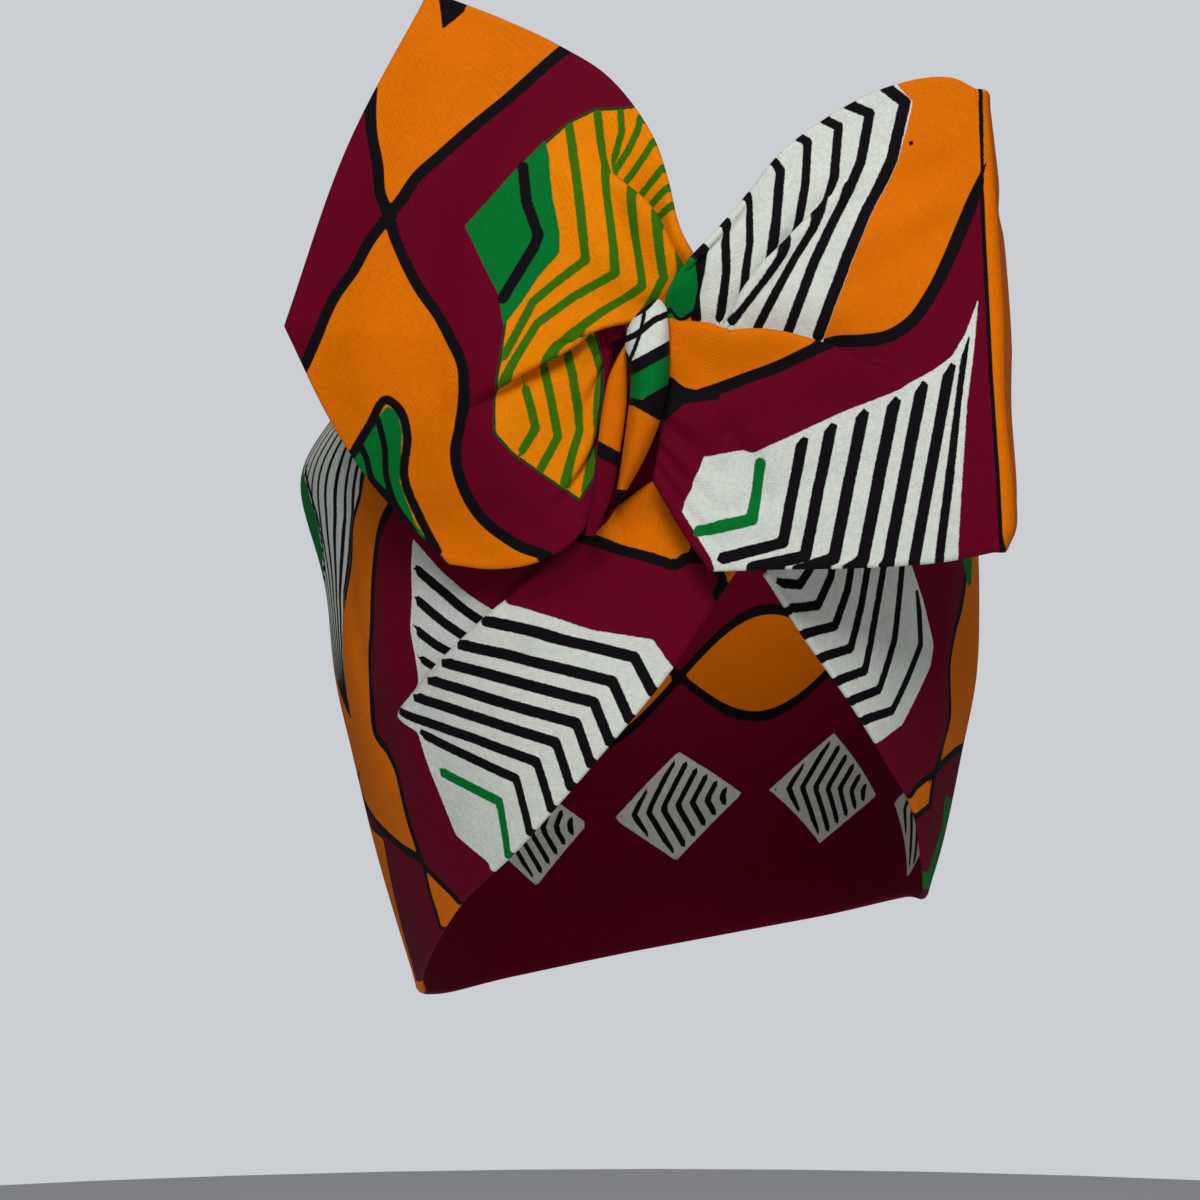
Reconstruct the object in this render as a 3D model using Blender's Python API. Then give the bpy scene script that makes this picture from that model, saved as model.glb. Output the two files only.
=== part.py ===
"""A wired head wrap: one long strip of doubled printed cotton, wound round the head and tied at the forehead.

The frame is right-handed, in metres at the end and in millimetres in every table below. X points to the
viewer's right, Y away from the viewer, Z up. The origin is the middle of the head at the level where the
band grips it, so the band lies round it and the bow stands above it at -Y.

Every piece of cloth is a grid of points: `across` runs from one edge of the strip to the other, and `along`
runs from the knot to the free end. The grid is given a wall by moving it half a wall each way.
"""

import bpy
import numpy as np

MM = 0.001

# Driving sizes in millimetres.
WING_WALL = 1.5
BAND_WALL = 1.8
# Folds are half as deep where a fold has only this much width of cloth.
NARROW = 2.0
# How much closer together the places across the strip are at a fold.
STATION_CROWDING = 3.0

# The band round the head: outer sizes of its oval at each height, from the middle to each of its four sides.
BAND_SHAPE_COLUMNS = ("height", "to_left", "to_right", "to_front", "to_back")
BAND_SHAPE = [
    (-112, 56.5, 56.0, 82.0, 62.0),
    (-92, 62.8, 63.0, 88.0, 72.0),
    (-66, 70.6, 72.3, 94.0, 84.0),
    (-38, 77.5, 78.5, 98.5, 94.0),
    (-20, 81.6, 82.0, 100.0, 98.0),
    (0, 83.5, 82.8, 100.0, 101.0),
    (20, 85.0, 82.0, 99.5, 102.0),
    (34, 84.5, 80.0, 98.0, 100.0),
    (48, 79.0, 75.0, 95.5, 94.0),
    (62, 71.0, 68.0, 91.0, 86.0),
]

# The band's two edges. The angle is counted round the head from the forehead, through the viewer's right.
# It starts before 0 and ends past 360, where the left end laps over the right one.
BAND_EDGE_COLUMNS = ("angle", "lower", "upper")
BAND_EDGES = [
    (-12, 36.0, 60.0),
    (0, 31.0, 61.0),
    (10, 20.0, 61.0),
    (18, 6.5, 60.0),
    (25, -7.7, 58.0),
    (34, -22.3, 56.0),
    (45, -37.4, 54.0),
    (56, -49.6, 52.0),
    (66, -63.0, 51.0),
    (80, -73.0, 50.0),
    (105, -77.0, 51.0),
    (140, -86.0, 56.0),
    (180, -95.0, 60.0),
    (220, -101.0, 58.0),
    (255, -102.0, 50.0),
    (280, -97.0, 47.0),
    (300, -86.0, 49.0),
    (320, -69.6, 53.0),
    (334, -57.5, 57.0),
    (350, -36.0, 60.0),
    (362, -15.6, 61.0),
    (370.5, 3.5, 60.0),
    (378, 20.0, 58.0),
]
LAP_ANGLES = (300, 345)
LAP_LIFT = 2.8
BULGE = {"angle": 275.0, "spread": 34.0, "height": 30.0, "tall": 17.0, "out": 5.4}
GATHER = {"spread": 15.0, "height": 44.0, "tall": 24.0, "out": 4.5}

# A fold slides the cloth along one slanted direction, forward before the fold line and back after it.
# side is +1 where the front layer lies on the lower side of the line, and -1 where it lies on the upper side.
FOLD_COLUMNS = ("across_knot", "across_end", "width", "start", "reach", "rise", "tuck", "side")
BAND_FOLDS = {
    "long pleat": (0.63, -0.77, 0.040, 0.0, 0.20, 2.8, 4.0, 1),
}

# Each edge of a wing is a row of places: where along the edge, then x, depth (y) and height (z).
PLACE_COLUMNS = ("part_way", "x", "depth", "height")
LEFT_WING = {
    "throat": [
        (0.00, -10.6, -109.0, 54.8),
        (0.20, -8.3, -110.6, 60.5),
        (0.40, -4.5, -111.0, 64.0),
        (0.60, -0.4, -111.2, 67.0),
        (0.80, 3.4, -111.2, 71.0),
        (1.00, 8.2, -111.0, 77.2),
    ],
    "lower": [
        (0.00, -10.6, -109.0, 54.8),
        (0.14, -10.8, -107.8, 45.0),
        (0.28, -11.4, -107.8, 34.0),
        (0.42, -13.6, -107.8, 22.6),
        (0.55, -18.0, -107.6, 14.6),
        (0.70, -26.6, -106.0, 9.4),
        (0.85, -36.6, -102.0, 7.8),
        (1.00, -46.6, -98.0, 8.9),
    ],
    "upper": [
        (0.00, 8.2, -111.0, 77.2),
        (0.10, 4.8, -111.8, 83.7),
        (0.22, 2.0, -111.0, 95.0),
        (0.34, -1.4, -109.0, 104.6),
        (0.50, -11.1, -105.0, 117.9),
        (0.64, -21.9, -102.0, 125.2),
        (0.81, -35.4, -98.0, 132.1),
        (1.00, -51.7, -94.0, 138.9),
    ],
    "end": [
        (0.00, -46.6, -98.0, 8.9),
        (0.08, -54.9, -94.5, 16.7),
        (0.19, -64.7, -95.0, 27.2),
        (0.31, -73.3, -97.0, 40.6),
        (0.48, -84.1, -98.0, 62.6),
        (0.75, -69.6, -98.5, 103.5),
        (1.00, -51.7, -94.0, 138.9),
    ],
}
LEFT_CORNERS = {"end": 0.48}
LEFT_BELLY = -4.0
LEFT_FOLDS = {
    "upper tuck": (0.93, 0.76, 0.045, 0.0, 0.66, 4.2, 4.0, 1),
    "overhang": (0.45, 0.26, 0.050, 0.0, 0.74, 5.2, 5.6, -1),
    "lobe edge": (0.11, 0.07, 0.034, 0.0, 0.62, 3.0, 2.8, -1),
}

RIGHT_WING = {
    "throat": [
        (0.00, 0.2, -112.5, 27.0),
        (0.25, 1.9, -113.0, 38.0),
        (0.48, 3.7, -113.5, 50.0),
        (0.68, 3.6, -114.2, 61.5),
        (0.84, 3.3, -114.8, 69.0),
        (1.00, 8.4, -114.4, 76.2),
    ],
    "lower": [
        (0.00, 0.2, -112.5, 27.0),
        (0.10, 7.0, -112.5, 15.4),
        (0.18, 12.8, -112.0, 7.2),
        (0.35, 27.2, -113.0, 7.6),
        (0.56, 44.5, -113.5, 7.9),
        (0.80, 63.8, -112.5, 9.2),
        (1.00, 76.1, -110.0, 11.5),
    ],
    "upper": [
        (0.00, 8.4, -114.4, 76.2),
        (0.12, 16.7, -111.0, 85.3),
        (0.32, 29.0, -107.5, 100.4),
        (0.50, 40.6, -104.5, 109.4),
        (0.68, 53.1, -101.5, 116.6),
        (0.88, 67.3, -99.0, 119.2),
        (1.00, 73.0, -98.5, 115.9),
    ],
    "end": [
        (0.00, 76.1, -110.0, 11.5),
        (0.05, 78.0, -110.5, 15.8),
        (0.12, 77.9, -111.0, 23.0),
        (0.33, 76.0, -111.0, 45.1),
        (0.50, 75.9, -109.0, 63.3),
        (0.77, 74.5, -104.0, 92.2),
        (1.00, 73.0, -98.5, 115.9),
    ],
}
RIGHT_CORNERS = {"lower": 0.18}
RIGHT_BELLY = -3.0
RIGHT_FOLDS = {
    "front panel edge": (0.69, 0.26, 0.050, 0.0, 0.78, 5.0, 5.2, 1),
    "stripe fold": (0.585, 0.97, 0.040, 0.16, 0.80, 3.4, 3.2, 1),
}
# Past the crease the right wing's end turns back. Its free edge is pointed, as the left wing's is.
TURN_BACK = {"bend_radius": 2.6, "angle": 80.0, "shortest": 6.0, "longest": 31.0, "point": 0.45}

# Wound pieces: height of each section, its middle x, half its width, its depth in front and behind.
WOUND_COLUMNS = ("height", "x", "half_width", "front", "back")
KNOT = [
    (65.6, -0.8, 2.4, -118.4, -113.4),
    (62.6, -0.9, 4.0, -121.0, -112.8),
    (57.5, -1.5, 4.7, -123.2, -109.0),
    (49.0, -1.3, 4.6, -124.0, -105.0),
    (40.0, -2.4, 3.7, -122.4, -105.0),
    (32.0, -4.2, 2.4, -119.0, -104.9),
    (24.4, -6.2, 0.9, -113.0, -105.4),
]
SIDE_FOLD = [
    (56.5, -7.6, 1.1, -114.0, -111.0),
    (52.0, -8.2, 1.8, -115.2, -110.2),
    (44.5, -8.9, 2.6, -115.6, -109.7),
    (33.5, -10.4, 2.6, -114.4, -110.1),
    (22.4, -12.2, 2.1, -112.6, -110.0),
    (14.4, -14.6, 1.2, -110.9, -109.5),
]


def table(columns, rows):
    """The rows as one array for each named column."""
    return dict(zip(columns, np.array(rows, float).T))


def curve_through(knots, values, where):
    """A smooth curve through the values: cubic pieces whose slopes are those of the neighbouring chords."""
    values = np.asarray(values, float).reshape(len(knots), -1)
    slopes = np.gradient(values, knots, axis=0)
    where = np.clip(np.asarray(where, float), knots[0], knots[-1])
    piece = np.clip(np.searchsorted(knots, where, side="right") - 1, 0, len(knots) - 2)
    length = (knots[piece + 1] - knots[piece])[..., None]
    u = (where[..., None] - knots[piece][..., None]) / length
    start = (1 + 2 * u) * (1 - u) ** 2 * values[piece] + u * (1 - u) ** 2 * slopes[piece] * length
    end = u**2 * (3 - 2 * u) * values[piece + 1] + u**2 * (u - 1) * slopes[piece + 1] * length
    return start + end


def with_corner(places, corner):
    """The places with the nearest one moved right onto the corner."""
    places = places.copy()
    places[np.argmin(abs(places - corner))] = corner
    return places


def edge_path(rows, where, corner=None):
    """The places along one edge of a wing, with a sharp corner at one part of the way if one is named."""
    row = table(PLACE_COLUMNS, rows)
    knots = row["part_way"]
    places = np.stack([row["x"], row["depth"], row["height"]], axis=1)
    if corner is None:
        return curve_through(knots, places, where)
    before = knots <= corner
    after = knots >= corner
    first = curve_through(knots[before], places[before], where)
    second = curve_through(knots[after], places[after], where)
    return np.where((where <= corner)[..., None], first, second)


def smooth_step(x):
    """0 below 0, 1 above 1, and a smooth rise between."""
    x = np.clip(x, 0, 1)
    return x * x * (3 - 2 * x)


def fold_line(fold, along):
    """Where across the strip a fold's line runs, that far along it."""
    return fold["across_knot"] + (fold["across_end"] - fold["across_knot"]) * along


def stations(count, folds, along, corner=None):
    """Places across the strip, one column for each place along it, closer together at the folds.

    The columns follow the fold lines, so that a slanted fold has no steps. Where a corner is named, one row
    of places runs right along it.
    """
    fine = np.linspace(0, 1, 1001)[:, None]
    density = np.ones((len(fine), len(along)))
    for row in folds.values():
        fold = dict(zip(FOLD_COLUMNS, row))
        near = np.minimum(along, fold["reach"])
        density += STATION_CROWDING * np.exp(-(((fine - fold_line(fold, near)) / (2 * fold["width"])) ** 2))
    total = np.cumsum(density, axis=0)
    total = (total - total[0]) / (total[-1] - total[0])
    steps = np.linspace(0, 1, count)
    places = np.stack([np.interp(steps, column, fine[:, 0]) for column in total.T], axis=1)
    if corner is not None:
        row = np.argmin(abs(places[:, -1] - corner))
        at_row = places[row].copy()
        below = places[: row + 1] * corner / at_row
        above = corner + (places[row:] - at_row) * (1 - corner) / (1 - at_row)
        places = np.concatenate([below, above[1:]])
    return places


def unit(vectors):
    """Each vector at length 1."""
    return vectors / np.maximum(np.linalg.norm(vectors, axis=-1, keepdims=True), 1e-9)


def normals_of(grid):
    """The direction square to a grid of points at each of them."""
    return unit(np.cross(np.gradient(grid, axis=1), np.gradient(grid, axis=0)))


def folded(grid, folds, across, along, facing):
    """The grid with its folds pressed in.

    facing is 1 where the grid's normals point out of the cloth's shown side, and -1 where they point behind it.

    Each point near a fold line slides along one slanted direction: forward by the fold's rise and sideways
    by its tuck. Across the line the slide is an odd bump, so the layer before the line comes forward over
    it and the layer after it goes back under. Along the line it is fullest at about a third of the fold's
    reach and fades to nothing at both ends, and it is less where the cloth is gathered narrow.
    """
    forward = facing * normals_of(grid)
    sideways = np.gradient(grid, axis=0) / np.gradient(across, axis=0)[..., None]
    strip_width = np.linalg.norm(sideways, axis=-1)
    sideways = unit(sideways)
    slid = grid
    for row in folds.values():
        fold = dict(zip(FOLD_COLUMNS, row))
        w = (across - fold_line(fold, along)) / fold["width"] * fold["side"]
        bump = -w * np.exp(0.5 - w * w) * np.sqrt(2)
        way = np.clip((along - fold["start"]) / (fold["reach"] - fold["start"]), 0, 1)
        room = fold["width"] * strip_width
        size = bump * np.sin(np.pi * way**0.6) * room / (room + NARROW)
        slid = slid + (fold["rise"] * size)[..., None] * forward
        slid = slid + (fold["tuck"] * fold["side"] * size)[..., None] * sideways
    return slid


def patch(edges, corners, across, along, belly):
    """A sheet stretched between four edges: the mean of the two ways of spanning them, less the corners.

    Where belly isn't 0 the middle stands that far in front of the plain span.
    """
    throat = edge_path(edges["throat"], across)
    end = edge_path(edges["end"], across, corners.get("end"))
    lower = edge_path(edges["lower"], along, corners.get("lower"))[None]
    upper = edge_path(edges["upper"], along)[None]
    s = across[..., None]
    t = along[None, :, None]
    spans = (1 - t) * throat + t * end + (1 - s) * lower + s * upper
    corner = (1 - s) * ((1 - t) * lower[:, :1] + t * lower[:, -1:])
    corner = corner + s * ((1 - t) * upper[:, :1] + t * upper[:, -1:])
    sheet = spans - corner
    sheet[..., 1] += belly * (np.sin(np.pi * s) * np.sin(np.pi * t))[..., 0]
    return sheet


def turned_back(sheet, across, count):
    """Extra columns past the last one: the cloth bends round the crease and then runs back, away from the viewer."""
    across = across[:, -1]
    point = TURN_BACK["point"]
    from_point = np.where(across < point, across / point, (1 - across) / (1 - point))
    width = TURN_BACK["shortest"] + (TURN_BACK["longest"] - TURN_BACK["shortest"]) * from_point
    radius = TURN_BACK["bend_radius"]
    angle = np.radians(TURN_BACK["angle"])
    bend = radius * angle
    out = unit((sheet[:, -1] - sheet[:, -2]) * (1, 0.35, 0))
    back = np.stack([-out[:, 1], out[:, 0], np.zeros(len(out))], axis=1)
    way = np.linspace(0, 1, count + 1)[1:] ** 1.4
    distance = width[:, None] * way
    turn = np.minimum(distance, bend) / radius
    straight = np.maximum(distance - bend, 0)
    outwards = radius * np.sin(turn) + straight * np.cos(angle)
    backwards = radius * (1 - np.cos(turn)) + straight * np.sin(angle)
    flange = sheet[:, -1:] + outwards[..., None] * out[:, None] + backwards[..., None] * back[:, None]
    return np.concatenate([sheet, flange], axis=1)


def walled(grid, wall):
    """Points and faces of a closed sheet: the grid moved half a wall each way, joined round its rim."""
    rows, columns = grid.shape[:2]
    offset = normals_of(grid) * wall / 2
    points = np.concatenate([(grid + offset).reshape(-1, 3), (grid - offset).reshape(-1, 3)])
    number = np.arange(rows * columns).reshape(rows, columns)
    a, b, c, d = number[:-1, :-1], number[1:, :-1], number[1:, 1:], number[:-1, 1:]
    front = np.stack([a, d, c, b], axis=-1).reshape(-1, 4)
    behind = np.stack([a, b, c, d], axis=-1).reshape(-1, 4) + rows * columns
    rim = np.concatenate([number[:, 0], number[-1, 1:], number[-2::-1, -1], number[0, -2:0:-1]])
    following = np.roll(rim, -1)
    sides = np.stack([rim, following, following + rows * columns, rim + rows * columns], axis=1)
    return points, np.concatenate([front, behind, sides])


def wound(rows, around, heights):
    """A solid wound piece: an egg-shaped section at each height, narrower at its back, closed by two caps."""
    row = table(WOUND_COLUMNS, rows)
    order = np.argsort(row["height"])
    values = np.stack([row[name][order] for name in WOUND_COLUMNS[1:]], axis=1)
    knots = row["height"][order]
    level = np.linspace(knots[0], knots[-1], heights)
    x, half_width, front, back = curve_through(knots, values, level).T
    turn = np.linspace(0, 2 * np.pi, around, endpoint=False)[:, None]
    narrowing = 1 - 0.36 * (1 - np.cos(turn)) / 2
    section_x = x + 1.2 * half_width * np.sin(turn) * narrowing
    section_y = (front + back) / 2 + (front - back) / 2 * np.cos(turn)
    section_z = np.broadcast_to(level, section_x.shape)
    points = np.stack([section_x, section_y, section_z], axis=-1)
    number = np.arange(around * heights).reshape(around, heights)
    following = np.roll(number, -1, axis=0)
    sides = np.stack([number[:, :-1], following[:, :-1], following[:, 1:], number[:, 1:]], axis=-1)
    caps = [number[::-1, 0].tolist(), number[:, -1].tolist()]
    return points.reshape(-1, 3), sides.reshape(-1, 4).tolist() + caps


def band_grid(across, along):
    """The band as a spiral round the head: it starts under its own left end and ends over it."""
    shape = table(BAND_SHAPE_COLUMNS, BAND_SHAPE)
    edges = table(BAND_EDGE_COLUMNS, BAND_EDGES)
    first, last = edges["angle"][0], edges["angle"][-1]
    angle = last + (first - last) * along
    lower, upper = curve_through(edges["angle"], np.stack([edges["lower"], edges["upper"]], axis=1), angle).T
    height = lower + (upper - lower) * across
    sizes = np.stack([shape[name] for name in BAND_SHAPE_COLUMNS[1:]], axis=1)
    to_left, to_right, to_front, to_back = np.moveaxis(curve_through(shape["height"], sizes, height), -1, 0)
    radians = np.radians(angle)
    side, ahead = np.sin(radians), np.cos(radians)
    half_width = np.where(side > 0, to_right, to_left)
    depth = np.where(ahead > 0, to_front, to_back)
    lift = LAP_LIFT * smooth_step((angle - LAP_ANGLES[0]) / (LAP_ANGLES[1] - LAP_ANGLES[0]))
    round_left = np.exp(-(((angle - BULGE["angle"]) / BULGE["spread"]) ** 2))
    at_height = np.exp(-(((height - BULGE["height"]) / BULGE["tall"]) ** 2))
    from_front = (angle + 180) % 360 - 180
    gather = np.exp(-((from_front / GATHER["spread"]) ** 2))
    gather = gather * np.exp(-(((height - GATHER["height"]) / GATHER["tall"]) ** 2))
    out = lift + BULGE["out"] * round_left * at_height + GATHER["out"] * gather - BAND_WALL / 2
    return np.stack([(half_width + out) * side, -(depth + out) * ahead, height], axis=-1)


def material(name, colour, roughness):
    """A plain finish: base colour and roughness, no metal."""
    made = bpy.data.materials.new(name)
    made.use_nodes = True
    shader = made.node_tree.nodes["Principled BSDF"]
    shader.inputs["Base Color"].default_value = (*colour, 1)
    shader.inputs["Roughness"].default_value = roughness
    shader.inputs["Metallic"].default_value = 0
    made.diffuse_color = (*colour, 1)
    return made


def add_piece(name, points, faces, finish):
    """One object of the scene, in metres."""
    mesh = bpy.data.meshes.new(name)
    mesh.from_pydata((points * MM).tolist(), [], [list(face) for face in faces])
    mesh.validate()
    mesh.shade_smooth()
    mesh.set_sharp_from_angle(angle=np.radians(50))
    mesh.materials.append(finish)
    piece = bpy.data.objects.new(name, mesh)
    bpy.context.scene.collection.objects.link(piece)
    return piece


def add_head_band():
    along = np.linspace(0, 1, 70)
    across = stations(15, BAND_FOLDS, along)
    grid = folded(band_grid(across, along), BAND_FOLDS, across, along, -1)
    add_piece("head_band", *walled(grid, BAND_WALL), material("printed_cotton_maroon", (0.11, 0.0, 0.014), 0.8))


def add_left_wing():
    along = np.linspace(0, 1, 18)
    across = stations(44, LEFT_FOLDS, along, LEFT_CORNERS["end"])
    sheet = patch(LEFT_WING, LEFT_CORNERS, across, along, LEFT_BELLY)
    grid = folded(sheet, LEFT_FOLDS, across, along, -1)
    add_piece("left_wing", *walled(grid, WING_WALL), material("printed_cotton_orange", (0.68, 0.17, 0.0), 0.8))


def add_right_wing():
    along = with_corner(np.linspace(0, 1, 18), RIGHT_CORNERS["lower"])
    across = stations(42, RIGHT_FOLDS, along)
    sheet = patch(RIGHT_WING, RIGHT_CORNERS, across, along, RIGHT_BELLY)
    grid = folded(sheet, RIGHT_FOLDS, across, along, 1)
    grid = turned_back(grid, across, 5)
    add_piece("right_wing", *walled(grid, WING_WALL), material("printed_cotton_white", (0.6, 0.62, 0.58), 0.8))


def add_wound_piece(name, rows, colour):
    points, faces = wound(rows, 14, 10)
    add_piece(name, points, faces, material("printed_cotton_" + name, colour, 0.8))


for old in list(bpy.data.objects):
    bpy.data.objects.remove(old)
add_head_band()
add_left_wing()
add_right_wing()
add_wound_piece("knot", KNOT, (0.0, 0.17, 0.03))
add_wound_piece("knot_side_fold", SIDE_FOLD, (0.68, 0.17, 0.0))
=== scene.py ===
# %% [markdown]
# A wired head wrap in printed cotton
#
# The real thing is one strip of doubled cotton, about a metre long and 17 cm wide, with a soft wire in
# its edge seam. It goes round the head from the nape, its ends cross at the forehead, and they are tied
# once and spread into two flared wings. Five pieces are made here: the band, the two wings, the knot and
# a narrow fold beside it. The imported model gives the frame. Its plain solids are replaced by finer cloth
# in the same place.

import bpy
import numpy as np
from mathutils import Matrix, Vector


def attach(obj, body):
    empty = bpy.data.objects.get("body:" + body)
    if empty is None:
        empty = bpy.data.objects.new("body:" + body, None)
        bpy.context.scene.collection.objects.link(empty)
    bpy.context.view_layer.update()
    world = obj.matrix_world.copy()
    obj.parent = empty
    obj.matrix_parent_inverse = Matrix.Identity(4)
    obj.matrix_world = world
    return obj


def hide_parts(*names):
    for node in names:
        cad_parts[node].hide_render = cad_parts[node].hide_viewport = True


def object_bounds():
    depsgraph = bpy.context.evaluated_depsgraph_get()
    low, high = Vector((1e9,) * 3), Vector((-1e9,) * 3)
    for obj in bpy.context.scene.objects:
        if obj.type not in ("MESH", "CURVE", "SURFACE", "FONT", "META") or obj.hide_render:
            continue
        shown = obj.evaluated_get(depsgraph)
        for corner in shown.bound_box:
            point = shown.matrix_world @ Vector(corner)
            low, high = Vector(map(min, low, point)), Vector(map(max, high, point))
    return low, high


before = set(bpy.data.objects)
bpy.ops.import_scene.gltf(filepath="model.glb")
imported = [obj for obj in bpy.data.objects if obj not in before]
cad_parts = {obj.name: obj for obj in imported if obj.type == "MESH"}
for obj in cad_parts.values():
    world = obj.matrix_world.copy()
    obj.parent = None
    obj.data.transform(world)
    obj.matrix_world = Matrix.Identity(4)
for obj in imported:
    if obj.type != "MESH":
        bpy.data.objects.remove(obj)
cad_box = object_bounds()
MM = 0.001
TINY = 1e-9
print("nodes:", ", ".join(sorted(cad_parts)))

# %% [markdown]
# Cloth as a grid
#
# A sheet of cloth is a function of two parameters: across, from the strip's lower edge to its upper one,
# and along, from the knot to the free end. It could be draped by simulation, but a wire holds these ends
# in shape, so the shape is drawn: four edge curves for a wing, an oval at each height for the band, and
# folds pressed into both. Every function works on whole arrays, and all the sizes are in millimetres
# until the mesh is made.


# %% Curves through a few places
def table(columns, rows):
    """The rows as one array for each named column."""
    return dict(zip(columns, np.array(rows, float).T))


def curve_through(knots, values, where):
    """A smooth curve through the values: cubic pieces whose slopes are those of the neighbouring chords."""
    values = np.asarray(values, float).reshape(len(knots), -1)
    slopes = np.gradient(values, knots, axis=0)
    where = np.clip(np.asarray(where, float), knots[0], knots[-1])
    piece = np.clip(np.searchsorted(knots, where, side="right") - 1, 0, len(knots) - 2)
    length = (knots[piece + 1] - knots[piece])[..., None]
    u = (where[..., None] - knots[piece][..., None]) / length
    start = (1 + 2 * u) * (1 - u) ** 2 * values[piece] + u * (1 - u) ** 2 * slopes[piece] * length
    end = u**2 * (3 - 2 * u) * values[piece + 1] + u**2 * (u - 1) * slopes[piece + 1] * length
    return start + end


def smooth_step(x):
    """0 below 0, 1 above 1, and between them three times x squared less twice x cubed."""
    x = np.clip(x, 0, 1)
    return x * x * (3 - 2 * x)


def bump(x, middle, spread):
    """1 at the middle, falling off on both sides as the bell curve of that spread."""
    return np.exp(-(((x - middle) / spread) ** 2))


def unit(vectors):
    """Each vector at length 1."""
    return vectors / np.maximum(np.linalg.norm(vectors, axis=-1, keepdims=True), TINY)


def normals_of(grid):
    """The direction square to a grid of points: the cross product of its two slopes."""
    return unit(np.cross(np.gradient(grid, axis=1), np.gradient(grid, axis=0)))


# %% The distance to a path
def to_pieces(path, spots):
    """From every spot to each straight piece of a path: the squared distance, and the spot's side."""
    start = path[:-1]
    way = np.diff(path, axis=0)
    from_start = spots[:, None] - start
    part = (from_start * way).sum(axis=-1) / np.maximum((way * way).sum(axis=-1), TINY)
    off = from_start - np.clip(part, 0, 1)[..., None] * way
    side = way[:, 0] * from_start[..., 1] - way[:, 1] * from_start[..., 0]
    return (off * off).sum(axis=-1), side


def distance_to(path, spots):
    """The distance from every spot to the nearest point of a path of straight pieces."""
    return np.sqrt(to_pieces(path, spots)[0].min(axis=1))


# %% The view from the camera
CAMERA_DISTANCE = 0.9
BOW_DEPTH = 105.0


def seen_from_front(grid):
    """Where each point appears on the bow's upright plane, from the place of the camera."""
    scale = (CAMERA_DISTANCE / MM - BOW_DEPTH) / (CAMERA_DISTANCE / MM + grid[..., 1])
    return np.stack([grid[..., 0] * scale, grid[..., 2] * scale], axis=-1)


# %% [markdown]
# Folds
#
# A fold is where cloth doubles over itself. Near the fold's line each point slides along one slanted
# direction, forward before the line and back after it, so that the front layer overhangs the layer
# behind. The grid needs more rows there, so its rows crowd to the fold lines.

# %% Rows that follow the folds
# Where a fold's line runs across the strip at the knot and at the end, its width across, where along the
# strip it starts and ends, and how far it rises and tucks in millimetres. Its side is 1 where the lower
# part of the strip lies in front, and -1 where the upper part does.
FOLD_COLUMNS = ("across_knot", "across_end", "width", "start", "reach", "rise", "tuck", "side")
STATION_CROWDING = 3.0
FINE_STEPS = 1001
NARROW = 2.0
FULLNESS_POWER = 0.6


def by_column(row):
    """A fold's row as one named value for each column."""
    return dict(zip(FOLD_COLUMNS, row))


def fold_line(fold, along):
    """Where across the strip a fold's line runs: straight, from its place at the knot to that at the end."""
    return fold["across_knot"] + (fold["across_end"] - fold["across_knot"]) * along


def stations(count, folds, along, corner=None):
    """Places across the strip, one column for each place along it, closer together at the folds.

    The density is 1 plus a bell curve at each fold line, and equal shares of its sum give the places.
    Where a corner is named, the nearest row is moved to it.
    """
    fine = np.linspace(0, 1, FINE_STEPS)[:, None]
    density = np.ones((len(fine), len(along)))
    for row in folds.values():
        fold = by_column(row)
        near = np.minimum(along, fold["reach"])
        density += STATION_CROWDING * bump(fine, fold_line(fold, near), 2 * fold["width"])
    total = np.cumsum(density, axis=0)
    total = (total - total[0]) / (total[-1] - total[0])
    steps = np.linspace(0, 1, count)
    places = np.stack([np.interp(steps, column, fine[:, 0]) for column in total.T], axis=1)
    if corner is not None:
        row = np.argmin(abs(places[:, -1] - corner))
        at_row = places[row].copy()
        below = places[: row + 1] * corner / at_row
        above = corner + (places[row:] - at_row) * (1 - corner) / (1 - at_row)
        places = np.concatenate([below, above[1:]])
    return places


def folded(grid, folds, across, along, facing):
    """The grid with its folds pressed in. Facing is 1 where its normals point out of the shown side.

    With w the distance from the fold line in fold widths, the slide is -w times the bell curve of w,
    scaled to 1 at its fullest: forward by the fold's rise and sideways by its tuck. Along the fold it is
    the sine of pi times the part of the way to the power FULLNESS_POWER, so it is fullest at a third of the
    reach and fades at both ends.
    """
    forward = facing * normals_of(grid)
    sideways = np.gradient(grid, axis=0) / np.gradient(across, axis=0)[..., None]
    strip_width = np.linalg.norm(sideways, axis=-1)
    sideways = unit(sideways)
    slid = grid
    for row in folds.values():
        fold = by_column(row)
        w = (across - fold_line(fold, along)) / fold["width"] * fold["side"]
        slide = -w * np.exp(0.5 - w * w) * np.sqrt(2)
        way = np.clip((along - fold["start"]) / (fold["reach"] - fold["start"]), 0, 1)
        room = fold["width"] * strip_width
        size = slide * np.sin(np.pi * way**FULLNESS_POWER) * room / (room + NARROW)
        slid = slid + (fold["rise"] * size)[..., None] * forward
        slid = slid + (fold["tuck"] * fold["side"] * size)[..., None] * sideways
    return slid


# %% [markdown]
# Gathers
#
# Where the strip is squeezed into the knot it puckers: small ridges run out of the knot and fade. They
# are a sine across the strip whose height falls off along it.

# %% Ridges that run out of the knot
GATHER_REACH = 0.30
UNEVEN = 0.8
UNEVEN_RADIANS = 5.0


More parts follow.
